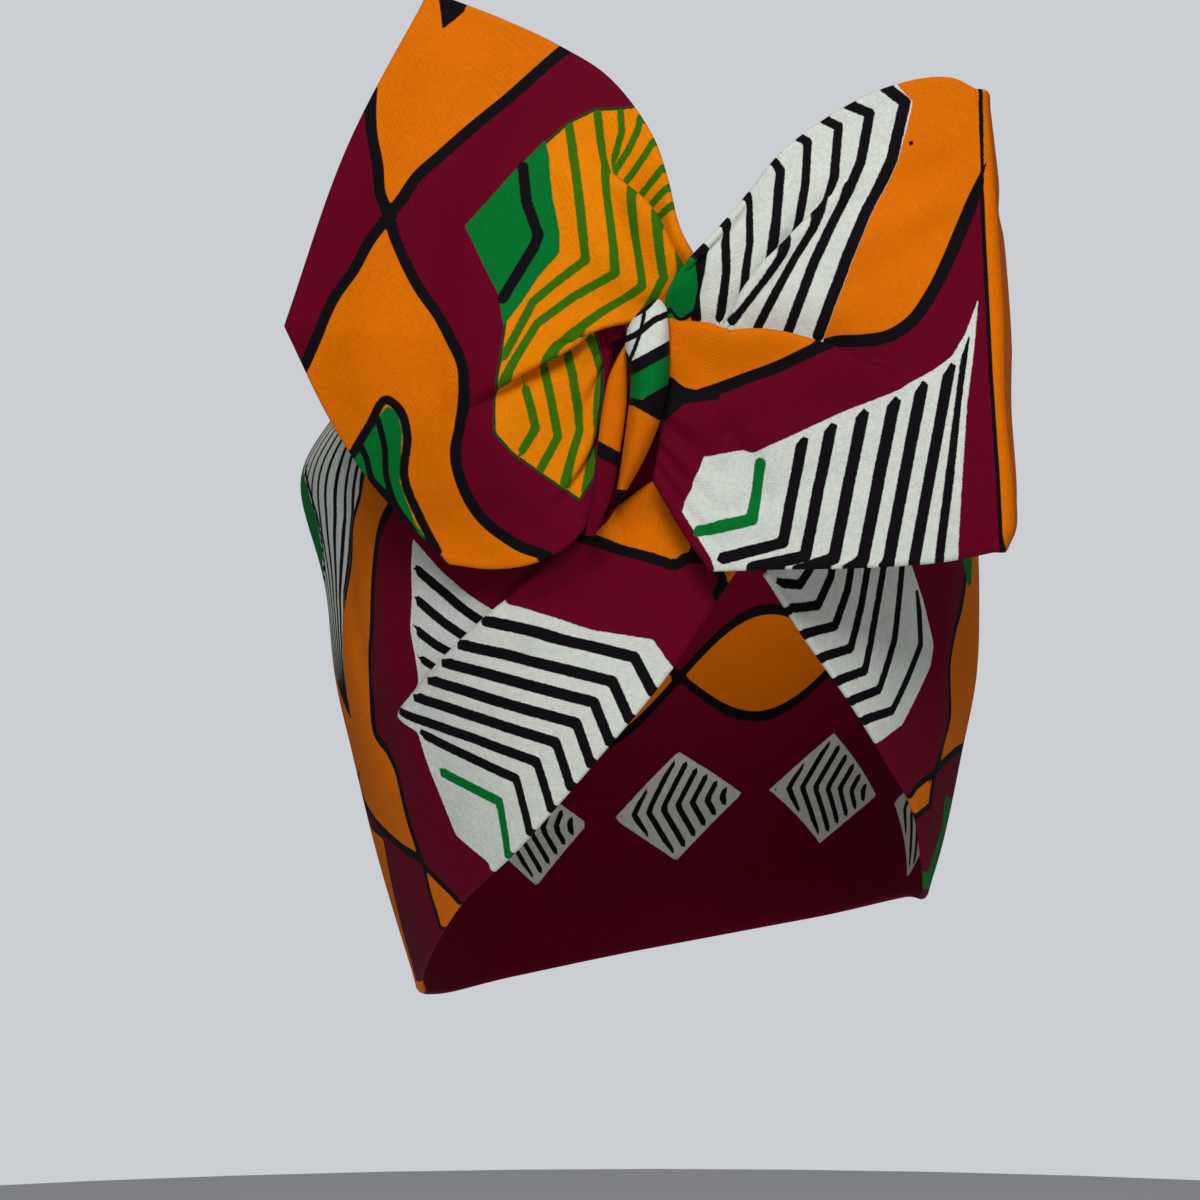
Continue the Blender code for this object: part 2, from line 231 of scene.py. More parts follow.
def gathered(grid, across, along, ridges, height, facing):
    """The grid moved along its normals by a sine across it, unevenly spaced by a second sine.

    The height fades with the bell curve of the way along, and with the root of a sine towards both edges.
    """
    wave = np.sin(2 * np.pi * (ridges * across + UNEVEN * np.sin(UNEVEN_RADIANS * across)))
    fade = bump(along, 0, GATHER_REACH) * np.sqrt(np.sin(np.pi * np.clip(across, 0, 1)))
    return grid + facing * (height * wave * fade)[..., None] * normals_of(grid)


# %% [markdown]
# Soft dents
#
# Between its folds the cloth isn't flat: slack lies in shallow ridges and valleys that the light picks
# out. Each is a path on the cloth's chart with a width and a height, and the cloth moves along its
# normals by a bell curve of the distance to that path.

# %% Ridges and valleys along paths
def pressed(grid, spots, dents, facing):
    """The grid moved out by each dent: width, height (negative for a valley), and its path's places."""
    size = np.zeros(grid.shape[:2])
    for width, height, places in dents:
        path = np.array(places, float)
        away = distance_to(path, spots.reshape(-1, 2)).reshape(size.shape)
        size += height * bump(away, 0, width)
    return grid + facing * size[..., None] * normals_of(grid)


# %% [markdown]
# From a grid to a wall of cloth
#
# Two layers of cotton with a turned edge are about 1.4 mm thick, and a little more at the edge, where the
# wire lies. The grid is moved half that way to each side, and a half round of extra rows closes the rim,
# so that light catches the edge as it does on a real hem.

# %% A wall with a round rim
RIM_TURNS = np.radians([36, 72, 108, 144])
HEM_WIDTH = 2.6
HEM_FROM_EDGE = 0.6


def walled(grid, thickness):
    """Points, faces and each point's number in the grid: its two sides, joined by a half round at the rim.

    A rim point is the edge point plus half the wall times (cosine of the turn times the normal plus its
    sine times the direction out of the sheet).
    """
    rows, columns = grid.shape[:2]
    normal = normals_of(grid)
    half = thickness[..., None] / 2
    number = np.arange(rows * columns).reshape(rows, columns)
    a, b, c, d = number[:-1, :-1], number[1:, :-1], number[1:, 1:], number[:-1, 1:]
    front = np.stack([a, d, c, b], axis=-1).reshape(-1, 4)
    behind = np.stack([a, b, c, d], axis=-1).reshape(-1, 4) + rows * columns
    rim = np.concatenate([number[:, 0], number[-1, 1:], number[-2::-1, -1], number[0, -2:0:-1]])
    edge = grid.reshape(-1, 3)[rim]
    edge_normal = normal.reshape(-1, 3)[rim]
    edge_half = half.reshape(-1, 1)[rim]
    tangent = unit(np.roll(edge, -1, axis=0) - np.roll(edge, 1, axis=0))
    outward = unit(np.cross(edge_normal, tangent))
    inner = np.concatenate([number[:, 1], number[-2, 1:], number[-2::-1, -2], number[1, -2:0:-1]])
    towards = grid.reshape(-1, 3)[inner] - edge
    outward *= -np.sign((outward * towards).sum(axis=1, keepdims=True))
    rings = [edge + edge_half * (np.cos(turn) * edge_normal + np.sin(turn) * outward) for turn in RIM_TURNS]
    sides = [(grid + sign * normal * half).reshape(-1, 3) for sign in (1, -1)]
    points = np.concatenate([*sides, *rings])
    first_ring = 2 * rows * columns
    loops = [rim] + [first_ring + k * len(rim) + np.arange(len(rim)) for k in range(len(RIM_TURNS))]
    loops.append(rim + rows * columns)
    bands = []
    for upper, lower in zip(loops[:-1], loops[1:]):
        bands.append(np.stack([upper, np.roll(upper, -1), np.roll(lower, -1), lower], axis=1))
    source = np.concatenate([np.arange(rows * columns)] * 2 + [rim] * len(RIM_TURNS))
    return points, np.concatenate([front, behind, *bands]).tolist(), source


def hem_thickness(grid, plain, bead):
    """The wall's thickness: plain in the middle and thicker by the bead near the strip's two long edges."""
    step = np.linalg.norm(np.diff(grid, axis=0), axis=-1)
    from_lower = np.concatenate([np.zeros((1, grid.shape[1])), np.cumsum(step, axis=0)])
    from_edge = np.minimum(from_lower, from_lower[-1] - from_lower)
    return plain + bead * bump(from_edge, HEM_FROM_EDGE, HEM_WIDTH / 2)


# %% Putting a wall of cloth into the scene
def add_cloth(name, node, points, faces, attributes, finish):
    """One object in metres, with its named attributes, riding on the body and standing for its node."""
    mesh = bpy.data.meshes.new(name)
    mesh.from_pydata((points * MM).tolist(), [], faces)
    mesh.shade_smooth()
    for attribute, values in attributes.items():
        made = mesh.attributes.new(attribute, "FLOAT", "POINT")
        made.data.foreach_set("value", values.astype(np.float32))
    mesh.materials.append(finish)
    piece = bpy.data.objects.new(name, mesh)
    bpy.context.scene.collection.objects.link(piece)
    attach(piece, "root")
    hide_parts(node)
    mesh.calc_loop_triangles()
    print(name, len(mesh.loop_triangles), "triangles")
    return piece


# %% [markdown]
# The two wings
#
# Each wing is a sheet stretched between four edge curves: its throat at the knot, its lower and upper
# edges, and its free end. The left wing ends in a wired point, the right one turns back behind a crease.

# %% A sheet between four edges
PLACE_COLUMNS = ("part_way", "x", "depth", "height")


def edge_path(rows, where, corner=None):
    """The places along one edge of a wing, with a sharp corner at one part of the way if one is named."""
    row = table(PLACE_COLUMNS, rows)
    knots = row["part_way"]
    places = np.stack([row["x"], row["depth"], row["height"]], axis=1)
    if corner is None:
        return curve_through(knots, places, where)
    before = knots <= corner
    after = knots >= corner
    first = curve_through(knots[before], places[before], where)
    second = curve_through(knots[after], places[after], where)
    return np.where((where <= corner)[..., None], first, second)


def patch(edges, corners, across, along, belly):
    """The mean of the two ways of spanning the four edges, less the plain span of the corners.

    The middle stands out by the belly times the sines of both parts of the way.
    """
    throat = edge_path(edges["throat"], across)
    end = edge_path(edges["end"], across, corners.get("end"))
    lower = edge_path(edges["lower"], along, corners.get("lower"))[None]
    upper = edge_path(edges["upper"], along)[None]
    s = across[..., None]
    t = along[None, :, None]
    spans = (1 - t) * throat + t * end + (1 - s) * lower + s * upper
    corner = (1 - s) * ((1 - t) * lower[:, :1] + t * lower[:, -1:])
    corner = corner + s * ((1 - t) * upper[:, :1] + t * upper[:, -1:])
    sheet = spans - corner
    sheet[..., 1] += belly * (np.sin(np.pi * s) * np.sin(np.pi * t))[..., 0]
    return sheet


# %% The left wing's edges and folds
LEFT_WING = {
    "throat": [
        (0.00, -10.6, -109.0, 54.8),
        (0.20, -8.3, -110.6, 60.5),
        (0.40, -3.6, -111.0, 62.6),
        (0.60, 1.2, -111.2, 65.4),
        (0.80, 5.2, -111.2, 69.4),
        (1.00, 8.2, -111.0, 77.2),
    ],
    "lower": [
        (0.00, -10.6, -109.0, 54.8),
        (0.14, -10.8, -107.8, 45.0),
        (0.28, -11.4, -107.8, 34.0),
        (0.42, -13.6, -107.8, 22.6),
        (0.55, -18.0, -107.6, 14.6),
        (0.70, -26.6, -106.0, 9.4),
        (0.85, -36.6, -102.0, 7.8),
        (1.00, -46.6, -98.0, 8.9),
    ],
    "upper": [
        (0.00, 8.2, -111.0, 77.2),
        (0.10, 4.8, -111.8, 83.7),
        (0.22, 2.0, -111.0, 95.0),
        (0.34, -1.4, -109.0, 104.6),
        (0.50, -11.1, -105.0, 117.9),
        (0.64, -21.9, -102.0, 125.2),
        (0.81, -35.4, -98.0, 132.1),
        (1.00, -51.7, -94.0, 138.9),
    ],
    "end": [
        (0.00, -46.6, -98.0, 8.9),
        (0.08, -54.9, -94.5, 16.7),
        (0.19, -64.7, -95.0, 27.2),
        (0.31, -73.3, -97.0, 40.6),
        (0.48, -84.1, -98.0, 62.6),
        (0.75, -69.6, -98.5, 103.5),
        (1.00, -51.7, -94.0, 138.9),
    ],
}
LEFT_CORNERS = {"end": 0.48}
LEFT_BELLY = -4.0
LEFT_FOLDS = {
    "upper tuck": (0.90, 0.80, 0.045, 0.0, 0.52, 4.4, 4.4, 1),
    "overhang": (0.55, 0.235, 0.040, 0.0, 0.72, 7.0, 6.4, -1),
    "lobe edge": (0.11, 0.07, 0.034, 0.0, 0.62, 3.0, 2.8, -1),
}
LEFT_DENTS = [
    (3.5, 0.9, [(-4, 70), (-14, 80), (-20, 96)]),
    (3.5, -0.8, [(-2, 74), (-9, 88), (-14, 104)]),
    (6.0, 1.0, [(-50, 120), (-62, 80), (-66, 50)]),
    (6.0, -0.9, [(-36, 112), (-50, 88), (-50, 50)]),
    (4.0, 0.9, [(-20, 16), (-32, 26), (-42, 44)]),
    (3.0, -1.2, [(-10, 58), (-8, 42), (-11, 26)]),
]


# %% The left wing
WING_WALL = 1.3
HEM_BEAD = 0.5
LEFT_RIDGES = (6.0, 0.8)


def left_wing_grid(rows, columns):
    """The left wing's sheet with its dents, gathers and folds. Its normals point away from the viewer."""
    along = np.linspace(0, 1, columns)
    across = stations(rows, LEFT_FOLDS, along, LEFT_CORNERS["end"])
    sheet = patch(LEFT_WING, LEFT_CORNERS, across, along, LEFT_BELLY)
    sheet = pressed(sheet, seen_from_front(sheet), LEFT_DENTS, -1)
    sheet = gathered(sheet, across, along, *LEFT_RIDGES, -1)
    return folded(sheet, LEFT_FOLDS, across, along, -1), across, along


# %% The right wing's edges and folds
RIGHT_WING = {
    "throat": [
        (0.00, 0.2, -112.5, 27.0),
        (0.25, 1.9, -113.0, 38.0),
        (0.48, 3.7, -113.5, 50.0),
        (0.68, 3.6, -114.2, 61.5),
        (0.84, 3.3, -114.8, 69.0),
        (1.00, 8.4, -114.4, 76.2),
    ],
    "lower": [
        (0.00, 0.2, -112.5, 27.0),
        (0.10, 7.0, -112.5, 15.4),
        (0.18, 12.8, -112.0, 7.2),
        (0.35, 27.2, -113.0, 7.6),
        (0.56, 44.5, -113.5, 7.9),
        (0.80, 63.8, -112.5, 9.2),
        (1.00, 76.1, -110.0, 11.5),
    ],
    "upper": [
        (0.00, 8.4, -114.4, 76.2),
        (0.12, 16.7, -111.0, 85.3),
        (0.32, 29.0, -107.5, 100.4),
        (0.50, 40.6, -104.5, 109.4),
        (0.68, 53.1, -101.5, 115.9),
        (0.88, 67.3, -99.0, 118.4),
        (1.00, 73.0, -98.5, 115.9),
    ],
    "end": [
        (0.00, 76.1, -110.0, 11.5),
        (0.05, 78.0, -110.5, 15.8),
        (0.12, 77.9, -111.0, 23.0),
        (0.33, 76.0, -111.0, 45.1),
        (0.50, 75.9, -109.0, 63.3),
        (0.77, 74.5, -104.0, 92.2),
        (1.00, 73.0, -98.5, 115.9),
    ],
}
RIGHT_CORNERS = {"lower": 0.18}
RIGHT_BELLY = -3.0
RIGHT_FOLDS = {
    "front panel edge": (0.69, 0.26, 0.050, 0.0, 0.78, 5.0, 5.2, 1),
    "stripe fold": (0.615, 0.99, 0.026, 0.10, 0.60, 2.8, 2.4, 1),
}
# Past the crease the right wing's end turns back. Its free edge is pointed, as the left wing's is.
TURN_BACK = {"bend_radius": 2.6, "angle": 76.0, "shortest": 6.0, "longest": 31.0, "point": 0.45}
CREASE_LEAN = (1, 0.35, 0)
CROWDING_AT_CREASE = 1.4
FLANGE_COLUMNS = 30
RIGHT_RIDGES = (7.0, 0.7)
RIGHT_DENTS = [
    (3.5, -1.0, [(44, 90), (54, 93), (66, 99)]),
    (4.0, 0.8, [(46, 82), (58, 88), (70, 90)]),
    (3.5, -0.8, [(44, 72), (54, 76), (64, 84)]),
    (3.0, -1.3, [(17, 37), (22, 32), (24, 24)]),
    (4.0, 0.9, [(10, 42), (24, 46), (40, 50)]),
    (4.0, -0.8, [(12, 27), (30, 26), (46, 30)]),
    (2.4, -0.8, [(22, 96), (21, 84), (18, 66)]),
    (2.4, 0.7, [(30, 100), (29, 88), (26, 74)]),
]


# %% The right wing
def turned_back(sheet, across, count):
    """Extra columns past the last one: the cloth bends round the crease, and then runs straight back.

    Round the bend a point is out by the radius times the sine of its turn, and back by the radius times
    one less its cosine.
    """
    across = across[:, -1]
    point = TURN_BACK["point"]
    from_point = np.where(across < point, across / point, (1 - across) / (1 - point))
    width = TURN_BACK["shortest"] + (TURN_BACK["longest"] - TURN_BACK["shortest"]) * from_point
    radius = TURN_BACK["bend_radius"]
    angle = np.radians(TURN_BACK["angle"])
    bend = radius * angle
    out = unit((sheet[:, -1] - sheet[:, -2]) * CREASE_LEAN)
    back = np.stack([-out[:, 1], out[:, 0], np.zeros(len(out))], axis=1)
    way = np.linspace(0, 1, count + 1)[1:] ** CROWDING_AT_CREASE
    distance = width[:, None] * way
    turn = np.minimum(distance, bend) / radius
    straight = np.maximum(distance - bend, 0)
    outwards = radius * np.sin(turn) + straight * np.cos(angle)
    backwards = radius * (1 - np.cos(turn)) + straight * np.sin(angle)
    flange = sheet[:, -1:] + outwards[..., None] * out[:, None] + backwards[..., None] * back[:, None]
    return np.concatenate([sheet, flange], axis=1)


def right_wing_grid(rows, columns):
    """The right wing's sheet with its dents, gathers and folds, and with its end turned back."""
    along = np.linspace(0, 1, columns)
    along[np.argmin(abs(along - RIGHT_CORNERS["lower"]))] = RIGHT_CORNERS["lower"]
    across = stations(rows, RIGHT_FOLDS, along)
    sheet = patch(RIGHT_WING, RIGHT_CORNERS, across, along, RIGHT_BELLY)
    sheet = pressed(sheet, seen_from_front(sheet), RIGHT_DENTS, 1)
    sheet = gathered(sheet, across, along, *RIGHT_RIDGES, 1)
    grid = folded(sheet, RIGHT_FOLDS, across, along, 1)
    return turned_back(grid, across, FLANGE_COLUMNS), across, along


# %% [markdown]
# The band
#
# The band is a spiral round the head: it starts under its own left end and ends over it. At each height
# the head's outline is an oval of four quarter ellipses, and the two edges of the strip cut the band out
# of it.

# %% The band's sizes
# The outer sizes of its oval at each height, from the middle to each of its four sides.
BAND_SHAPE_COLUMNS = ("height", "to_left", "to_right", "to_front", "to_back")
BAND_SHAPE = [
    (-112, 56.5, 56.0, 82.0, 62.0),
    (-92, 62.8, 63.0, 88.0, 72.0),
    (-66, 70.6, 72.3, 94.0, 84.0),
    (-38, 77.5, 78.5, 98.5, 94.0),
    (-20, 81.6, 82.0, 100.0, 98.0),
    (0, 83.5, 82.8, 100.0, 101.0),
    (20, 85.0, 82.0, 99.5, 102.0),
    (34, 84.5, 80.0, 98.0, 100.0),
    (48, 79.0, 75.0, 95.5, 94.0),
    (62, 71.0, 68.0, 91.0, 86.0),
]

# Its two edges. The angle is counted round the head from the forehead, through the viewer's right. It
# starts before 0 and ends past 360, where the left end laps over the right one.
BAND_EDGE_COLUMNS = ("angle", "lower", "upper")
BAND_EDGES = [
    (-12, 36.0, 60.0),
    (0, 31.0, 61.0),
    (10, 20.0, 61.0),
    (18, 6.5, 60.0),
    (25, -7.7, 58.0),
    (34, -22.3, 56.0),
    (45, -37.4, 54.0),
    (56, -49.6, 52.0),
    (66, -63.0, 51.0),
    (80, -73.0, 50.0),
    (105, -77.0, 51.0),
    (140, -86.0, 56.0),
    (180, -95.0, 60.0),
    (220, -101.0, 58.0),
    (255, -102.0, 50.0),
    (280, -97.0, 47.0),
    (300, -86.0, 49.0),
    (320, -69.6, 53.0),
    (334, -57.5, 57.0),
    (350, -36.0, 60.0),
    (362, -15.6, 61.0),
    (370.5, 3.5, 60.0),
    (378, 20.0, 58.0),
]
LAP_ANGLES = (300, 345)
LAP_LIFT = 2.8
BULGE = {"angle": 275.0, "spread": 34.0, "height": 30.0, "tall": 17.0, "out": 5.4}
GATHER = {"spread": 15.0, "height": 44.0, "tall": 24.0, "out": 4.5}
BAND_FOLDS = {
    "long pleat": (0.63, -0.77, 0.040, 0.0, 0.20, 2.8, 4.0, 1),
}
BAND_WALL = 1.5
OUTER_TO_MIDDLE = 0.9
ARC_PER_DEGREE = 1.6
BAND_DENTS = [
    (3.0, 0.9, [(-4, 6), (-16, -4), (-30, -10)]),
    (2.6, -0.8, [(-8, 10), (-22, 2), (-36, -3)]),
    (3.0, 0.7, [(-14, 13), (-30, 6)]),
    (5.0, 1.0, [(-75, 20), (-80, -10), (-72, -40)]),
    (5.0, -0.8, [(-95, 30), (-100, 0), (-88, -40)]),
    (5.0, 0.8, [(96, 10), (90, -20), (100, -50)]),
    (6.0, 0.9, [(150, 40), (170, 0), (160, -60)]),
    (6.0, 0.9, [(-150, 40), (-170, -10), (-160, -80)]),
]


# %% The band
def band_grid(across, along):
    """The band as a spiral round the head: it starts under its own left end and ends over it.

    A point is at the half width times the sine of its angle and the depth times its cosine. The bulge and
    the gathers are bell curves of the angle and of the height.
    """
    shape = table(BAND_SHAPE_COLUMNS, BAND_SHAPE)
    edges = table(BAND_EDGE_COLUMNS, BAND_EDGES)
    first, last = edges["angle"][0], edges["angle"][-1]
    angle = last + (first - last) * along
    lower, upper = curve_through(edges["angle"], np.stack([edges["lower"], edges["upper"]], axis=1), angle).T
    height = lower + (upper - lower) * across
    sizes = np.stack([shape[name] for name in BAND_SHAPE_COLUMNS[1:]], axis=1)
    to_left, to_right, to_front, to_back = np.moveaxis(curve_through(shape["height"], sizes, height), -1, 0)
    radians = np.radians(angle)
    side, ahead = np.sin(radians), np.cos(radians)
    half_width = np.where(side > 0, to_right, to_left)
    depth = np.where(ahead > 0, to_front, to_back)
    lift = LAP_LIFT * smooth_step((angle - LAP_ANGLES[0]) / (LAP_ANGLES[1] - LAP_ANGLES[0]))
    bulge = bump(angle, BULGE["angle"], BULGE["spread"]) * bump(height, BULGE["height"], BULGE["tall"])
    from_front = (angle + 180) % 360 - 180
    gather = bump(from_front, 0, GATHER["spread"]) * bump(height, GATHER["height"], GATHER["tall"])
    out = lift + BULGE["out"] * bulge + GATHER["out"] * gather - OUTER_TO_MIDDLE
    return np.stack([(half_width + out) * side, -(depth + out) * ahead, height], axis=-1)


def unrolled(grid, along):
    """Each point's place on the unrolled band: millimetres round the head from the forehead, and height."""
    first, last = BAND_EDGES[0][0], BAND_EDGES[-1][0]
    angle = last + (first - last) * along
    arc = ARC_PER_DEGREE * np.where(along < 0.5, angle - 360, angle)
    return np.stack([np.broadcast_to(arc, grid.shape[:2]), grid[..., 2]], axis=-1)


def head_band_grid(rows, columns):
    """The band with its soft dents and its long pleat. Its normals point inwards."""
    along = np.linspace(0, 1, columns)
    across = stations(rows, BAND_FOLDS, along)
    grid = band_grid(across, along)
    grid = pressed(grid, unrolled(grid, along), BAND_DENTS, -1)
    return folded(grid, BAND_FOLDS, across, along, -1), across, along


# %% [markdown]
# The knot and the fold beside it
#
# The knot is the cloth of one end, wound upright over the two gathered throats, and a narrow fold of the
# same end runs down beside it. Each is a closed form with a section at each height.

# %% Wound pieces
WOUND_COLUMNS = ("height", "x", "half_width", "front", "back")
KNOT = [
    (67.0, 0.6, 0.8, -117.0, -113.4),
    (65.2, 0.0, 2.5, -119.5, -113.2),
    (62.0, -1.2, 4.1, -121.6, -112.8),
    (57.5, -1.7, 4.9, -123.2, -109.0),
    (49.0, -1.2, 4.3, -124.0, -105.0),
    (40.0, -2.6, 3.7, -122.4, -105.0),
    (32.0, -4.8, 2.6, -119.0, -104.9),
    (25.4, -7.2, 1.3, -114.0, -105.4),
    (21.8, -8.6, 0.6, -111.6, -105.8),
]
SIDE_FOLD = [
    (57.0, -6.6, 0.3, -113.4, -111.6),
    (54.4, -7.3, 1.1, -114.4, -111.0),
    (51.0, -8.1, 1.9, -115.2, -110.2),
    (44.5, -8.9, 2.6, -115.6, -109.7),
    (33.5, -10.4, 2.6, -114.4, -110.1),
    (22.4, -12.2, 2.1, -112.6, -110.0),
    (14.4, -14.6, 1.2, -110.9, -109.5),
]
# A section's half width at its front, times the measured one, and the part of it that its back loses.
WIDENING = 1.2
NARROWING = 0.36


def wound(rows, around, heights):
    """A solid wound piece: an egg-shaped section at each height, narrower at its back, and two caps.

    A section is the middle plus the half width times the sine of the turn and half the depth times its
    cosine. The half width is widened at the front, and narrows by NARROWING towards the back.
    """
    row = table(WOUND_COLUMNS, rows)
    order = np.argsort(row["height"])
    values = np.stack([row[name][order] for name in WOUND_COLUMNS[1:]], axis=1)
    knots = row["height"][order]
    level = np.linspace(knots[0], knots[-1], heights)
    x, half_width, front, back = curve_through(knots, values, level).T
    turn = np.linspace(0, 2 * np.pi, around, endpoint=False)[:, None]
    narrowing = 1 - NARROWING * (1 - np.cos(turn)) / 2
    section_x = x + WIDENING * half_width * np.sin(turn) * narrowing
    section_y = (front + back) / 2 + (front - back) / 2 * np.cos(turn)
    section_z = np.broadcast_to(level, section_x.shape)
    points = np.stack([section_x, section_y, section_z], axis=-1)
    number = np.arange(around * heights).reshape(around, heights)
    following = np.roll(number, -1, axis=0)
    sides = np.stack([number[:, :-1], following[:, :-1], following[:, 1:], number[:, 1:]], axis=-1)
    caps = [number[::-1, 0].tolist(), number[:, -1].tolist()]
    return points.reshape(-1, 3), sides.reshape(-1, 4).tolist() + caps


# %% [markdown]
# The print
#
# The cloth has a common wax-print pattern: pointed orange ovals outlined in black on maroon, and lozenges
# filled with striped white or gold. On the real wrap the printed strip is folded and gathered, so each
# visible panel shows its own cut of the pattern. Each panel has a chart: the motifs' outlines in
# millimetres, on the upright plane of the bow as seen from the front. A motif becomes a signed distance
# at every point of the cloth, negative inside it, and the material turns those numbers into colour. Edges
# stay sharp however coarse the mesh is.

# %% Distances on a chart
# The first five layers are signed distances. Then come the stripes' number, the gap from one to the next
# and half a stripe's width, half the width of an oval's outline, and the margin beside the stripes.
LAYERS = ("orange", "white", "gold", "green", "black", "stripe", "gap", "half", "outline", "margin")
SIGNED = LAYERS[:5]
PAST_LAST = -0.48
NO_MARGIN = -3.0
FAR = 50.0
LEAST_GAP = 0.2
SMOOTH_STEPS = 6


def smoothed(places):
    """A smooth open path through the places."""
    places = np.array(places, float)
    chord = np.concatenate([[0], np.cumsum(np.linalg.norm(np.diff(places, axis=0), axis=1))])
    steps = SMOOTH_STEPS * (len(places) - 1) + 1
    where = np.interp(np.linspace(0, len(places) - 1, steps), np.arange(len(places)), chord)
    return curve_through(chord, places, where)


def sided_distance(path, spots):
    """The distance to a path, negative on its right side."""
    squared, side = to_pieces(path, spots)
    nearest = squared.argmin(axis=1)[:, None]
    side = np.take_along_axis(side, nearest, axis=1)[:, 0]
    return np.sqrt(squared.min(axis=1)) * np.where(side < 0, -1, 1)


def inside(outline, spots):
    """Whether a level line from each spot crosses the closed outline an odd number of times."""
    a = outline
    b = np.roll(outline, -1, axis=0)
    u, v = spots[:, 0, None], spots[:, 1, None]
    spans = (a[:, 1] > v) != (b[:, 1] > v)
    rise = np.where(b[:, 1] == a[:, 1], 1.0, b[:, 1] - a[:, 1])
    crossing = a[:, 0] + (v - a[:, 1]) / rise * (b[:, 0] - a[:, 0])
    return (spans & (crossing > u)).sum(axis=1) % 2 == 1


def signed_distance(outline, spots):
    """The distance to a closed outline, negative inside it."""
    closed = np.concatenate([outline, outline[:1]])
    return np.where(inside(outline, spots), -1, 1) * distance_to(closed, spots)


def stripe_paths(rows):
    """A half width and a path for every whole number, between the given rows: number, half width, path."""
    numbers = [row[0] for row in rows]
    halves = [row[1] for row in rows]
    paths = np.array([row[2] for row in rows], float)
    for number in range(int(numbers[0]), int(numbers[-1]) + 1):
        step = min(np.searchsorted(numbers, number, side="right") - 1, len(rows) - 2)
        share = (number - numbers[step]) / (numbers[step + 1] - numbers[step])
        half = halves[step] + share * (halves[step + 1] - halves[step])
        yield half, paths[step] + share * (paths[step + 1] - paths[step])


def striped(rows, spots):
    """The stripes as a smooth number: whole on each stripe's middle, with the share of the way between.

    Between two stripes, with the distances p to the one and q to the next, the share is p over p + q, and
    the gap is p + q. Past the last stripe the number stays under a half more: no further stripe begins.
    """
    halves, paths = zip(*stripe_paths(rows))
    sided = np.stack([sided_distance(path, spots) for path in paths])
    if sided_distance(paths[0], paths[1]).sum() < 0:
        sided = -sided
    away = abs(sided)
    nearest = away.argmin(axis=0)[None]
    past = np.take_along_axis(sided, nearest, axis=0) > 0
    step = np.clip(nearest - ~past, 0, len(paths) - 2)
    p = np.take_along_axis(away, step, axis=0)
    q = np.take_along_axis(away, step + 1, axis=0)
    before = (nearest == 0) & ~past
    beyond = (nearest == len(paths) - 1) & past
    gap = np.maximum(np.where(before | beyond, abs(p - q), p + q), LEAST_GAP)
    number = step + np.where(before, -p, p) / gap
    number = np.clip(number, PAST_LAST, len(paths) - 1 - PAST_LAST)[0]
    half = np.interp(number, np.arange(len(paths)), halves)
    return {"stripe": number + rows[0][0], "gap": gap[0], "half": half}, away.min(axis=0)


def blank(shape):
    """Layers with nothing in them."""
    layers = {name: np.full(shape, FAR if name in SIGNED else 0.0) for name in LAYERS}
    layers["margin"][:] = NO_MARGIN
    return layers


def draw(chart, spots):
    """Every layer at the spots, from a chart's motifs: kind, half the line's width, and places.

    A loop is a smooth outline that begins and ends at its corner, and an area is one with straight sides.
    A line is a smooth stroke, and a bend is one of straight pieces. A white area's number is the margin
    that its stripes keep from its edge.
    """
    layers = blank(len(spots))
    nearest_stripe = np.full(len(spots), FAR)

    def add(layer, distance):
        layers[layer] = np.minimum(layers[layer], distance)

    for kind, half, places in chart:
        layer = kind.split()[0]
        if kind == "stripes":
            found, distance = striped(places, spots)
            for name, values in found.items():
                layers[name] = np.where(distance < nearest_stripe, values, layers[name])
            nearest_stripe = np.minimum(distance, nearest_stripe)
        elif kind.endswith("line"):
            add(layer, distance_to(smoothed(places), spots) - half)
        elif kind.endswith("bend"):
            add(layer, distance_to(np.array(places, float), spots) - half)
        else:
            outline = smoothed(places) if kind.endswith("loop") else np.array(places, float)
            distance = signed_distance(outline, spots)
            if layer == "orange":
                layers["outline"] = np.where(distance < layers["orange"], half, layers["outline"])
            if layer == "white":
                layers["margin"] = np.where(distance < layers["white"], half, layers["margin"])
            add(layer, distance)
    return layers


def drawn_in_panels(charts, panels, spots):
    """The layers over a whole grid, where each panel of it, a mask by name, has its own chart."""
    layers = blank(spots.shape[:2])
    for name, mask in panels.items():
        drawn = draw(charts[name], spots[mask])
        for layer in LAYERS:
            layers[layer][mask] = drawn[layer]
    return layers


# %% [markdown]
# The left wing's charts
#
# Two orange ovals meet in a point at the left, a gold lozenge with olive chevrons fills the middle, and a
# narrow green and black one points up at the lower left. The cloth above the upper tuck and below the
# overhang belongs to other cuts of the pattern: the ovals stay the same there, and the lozenge is drawn
# anew.

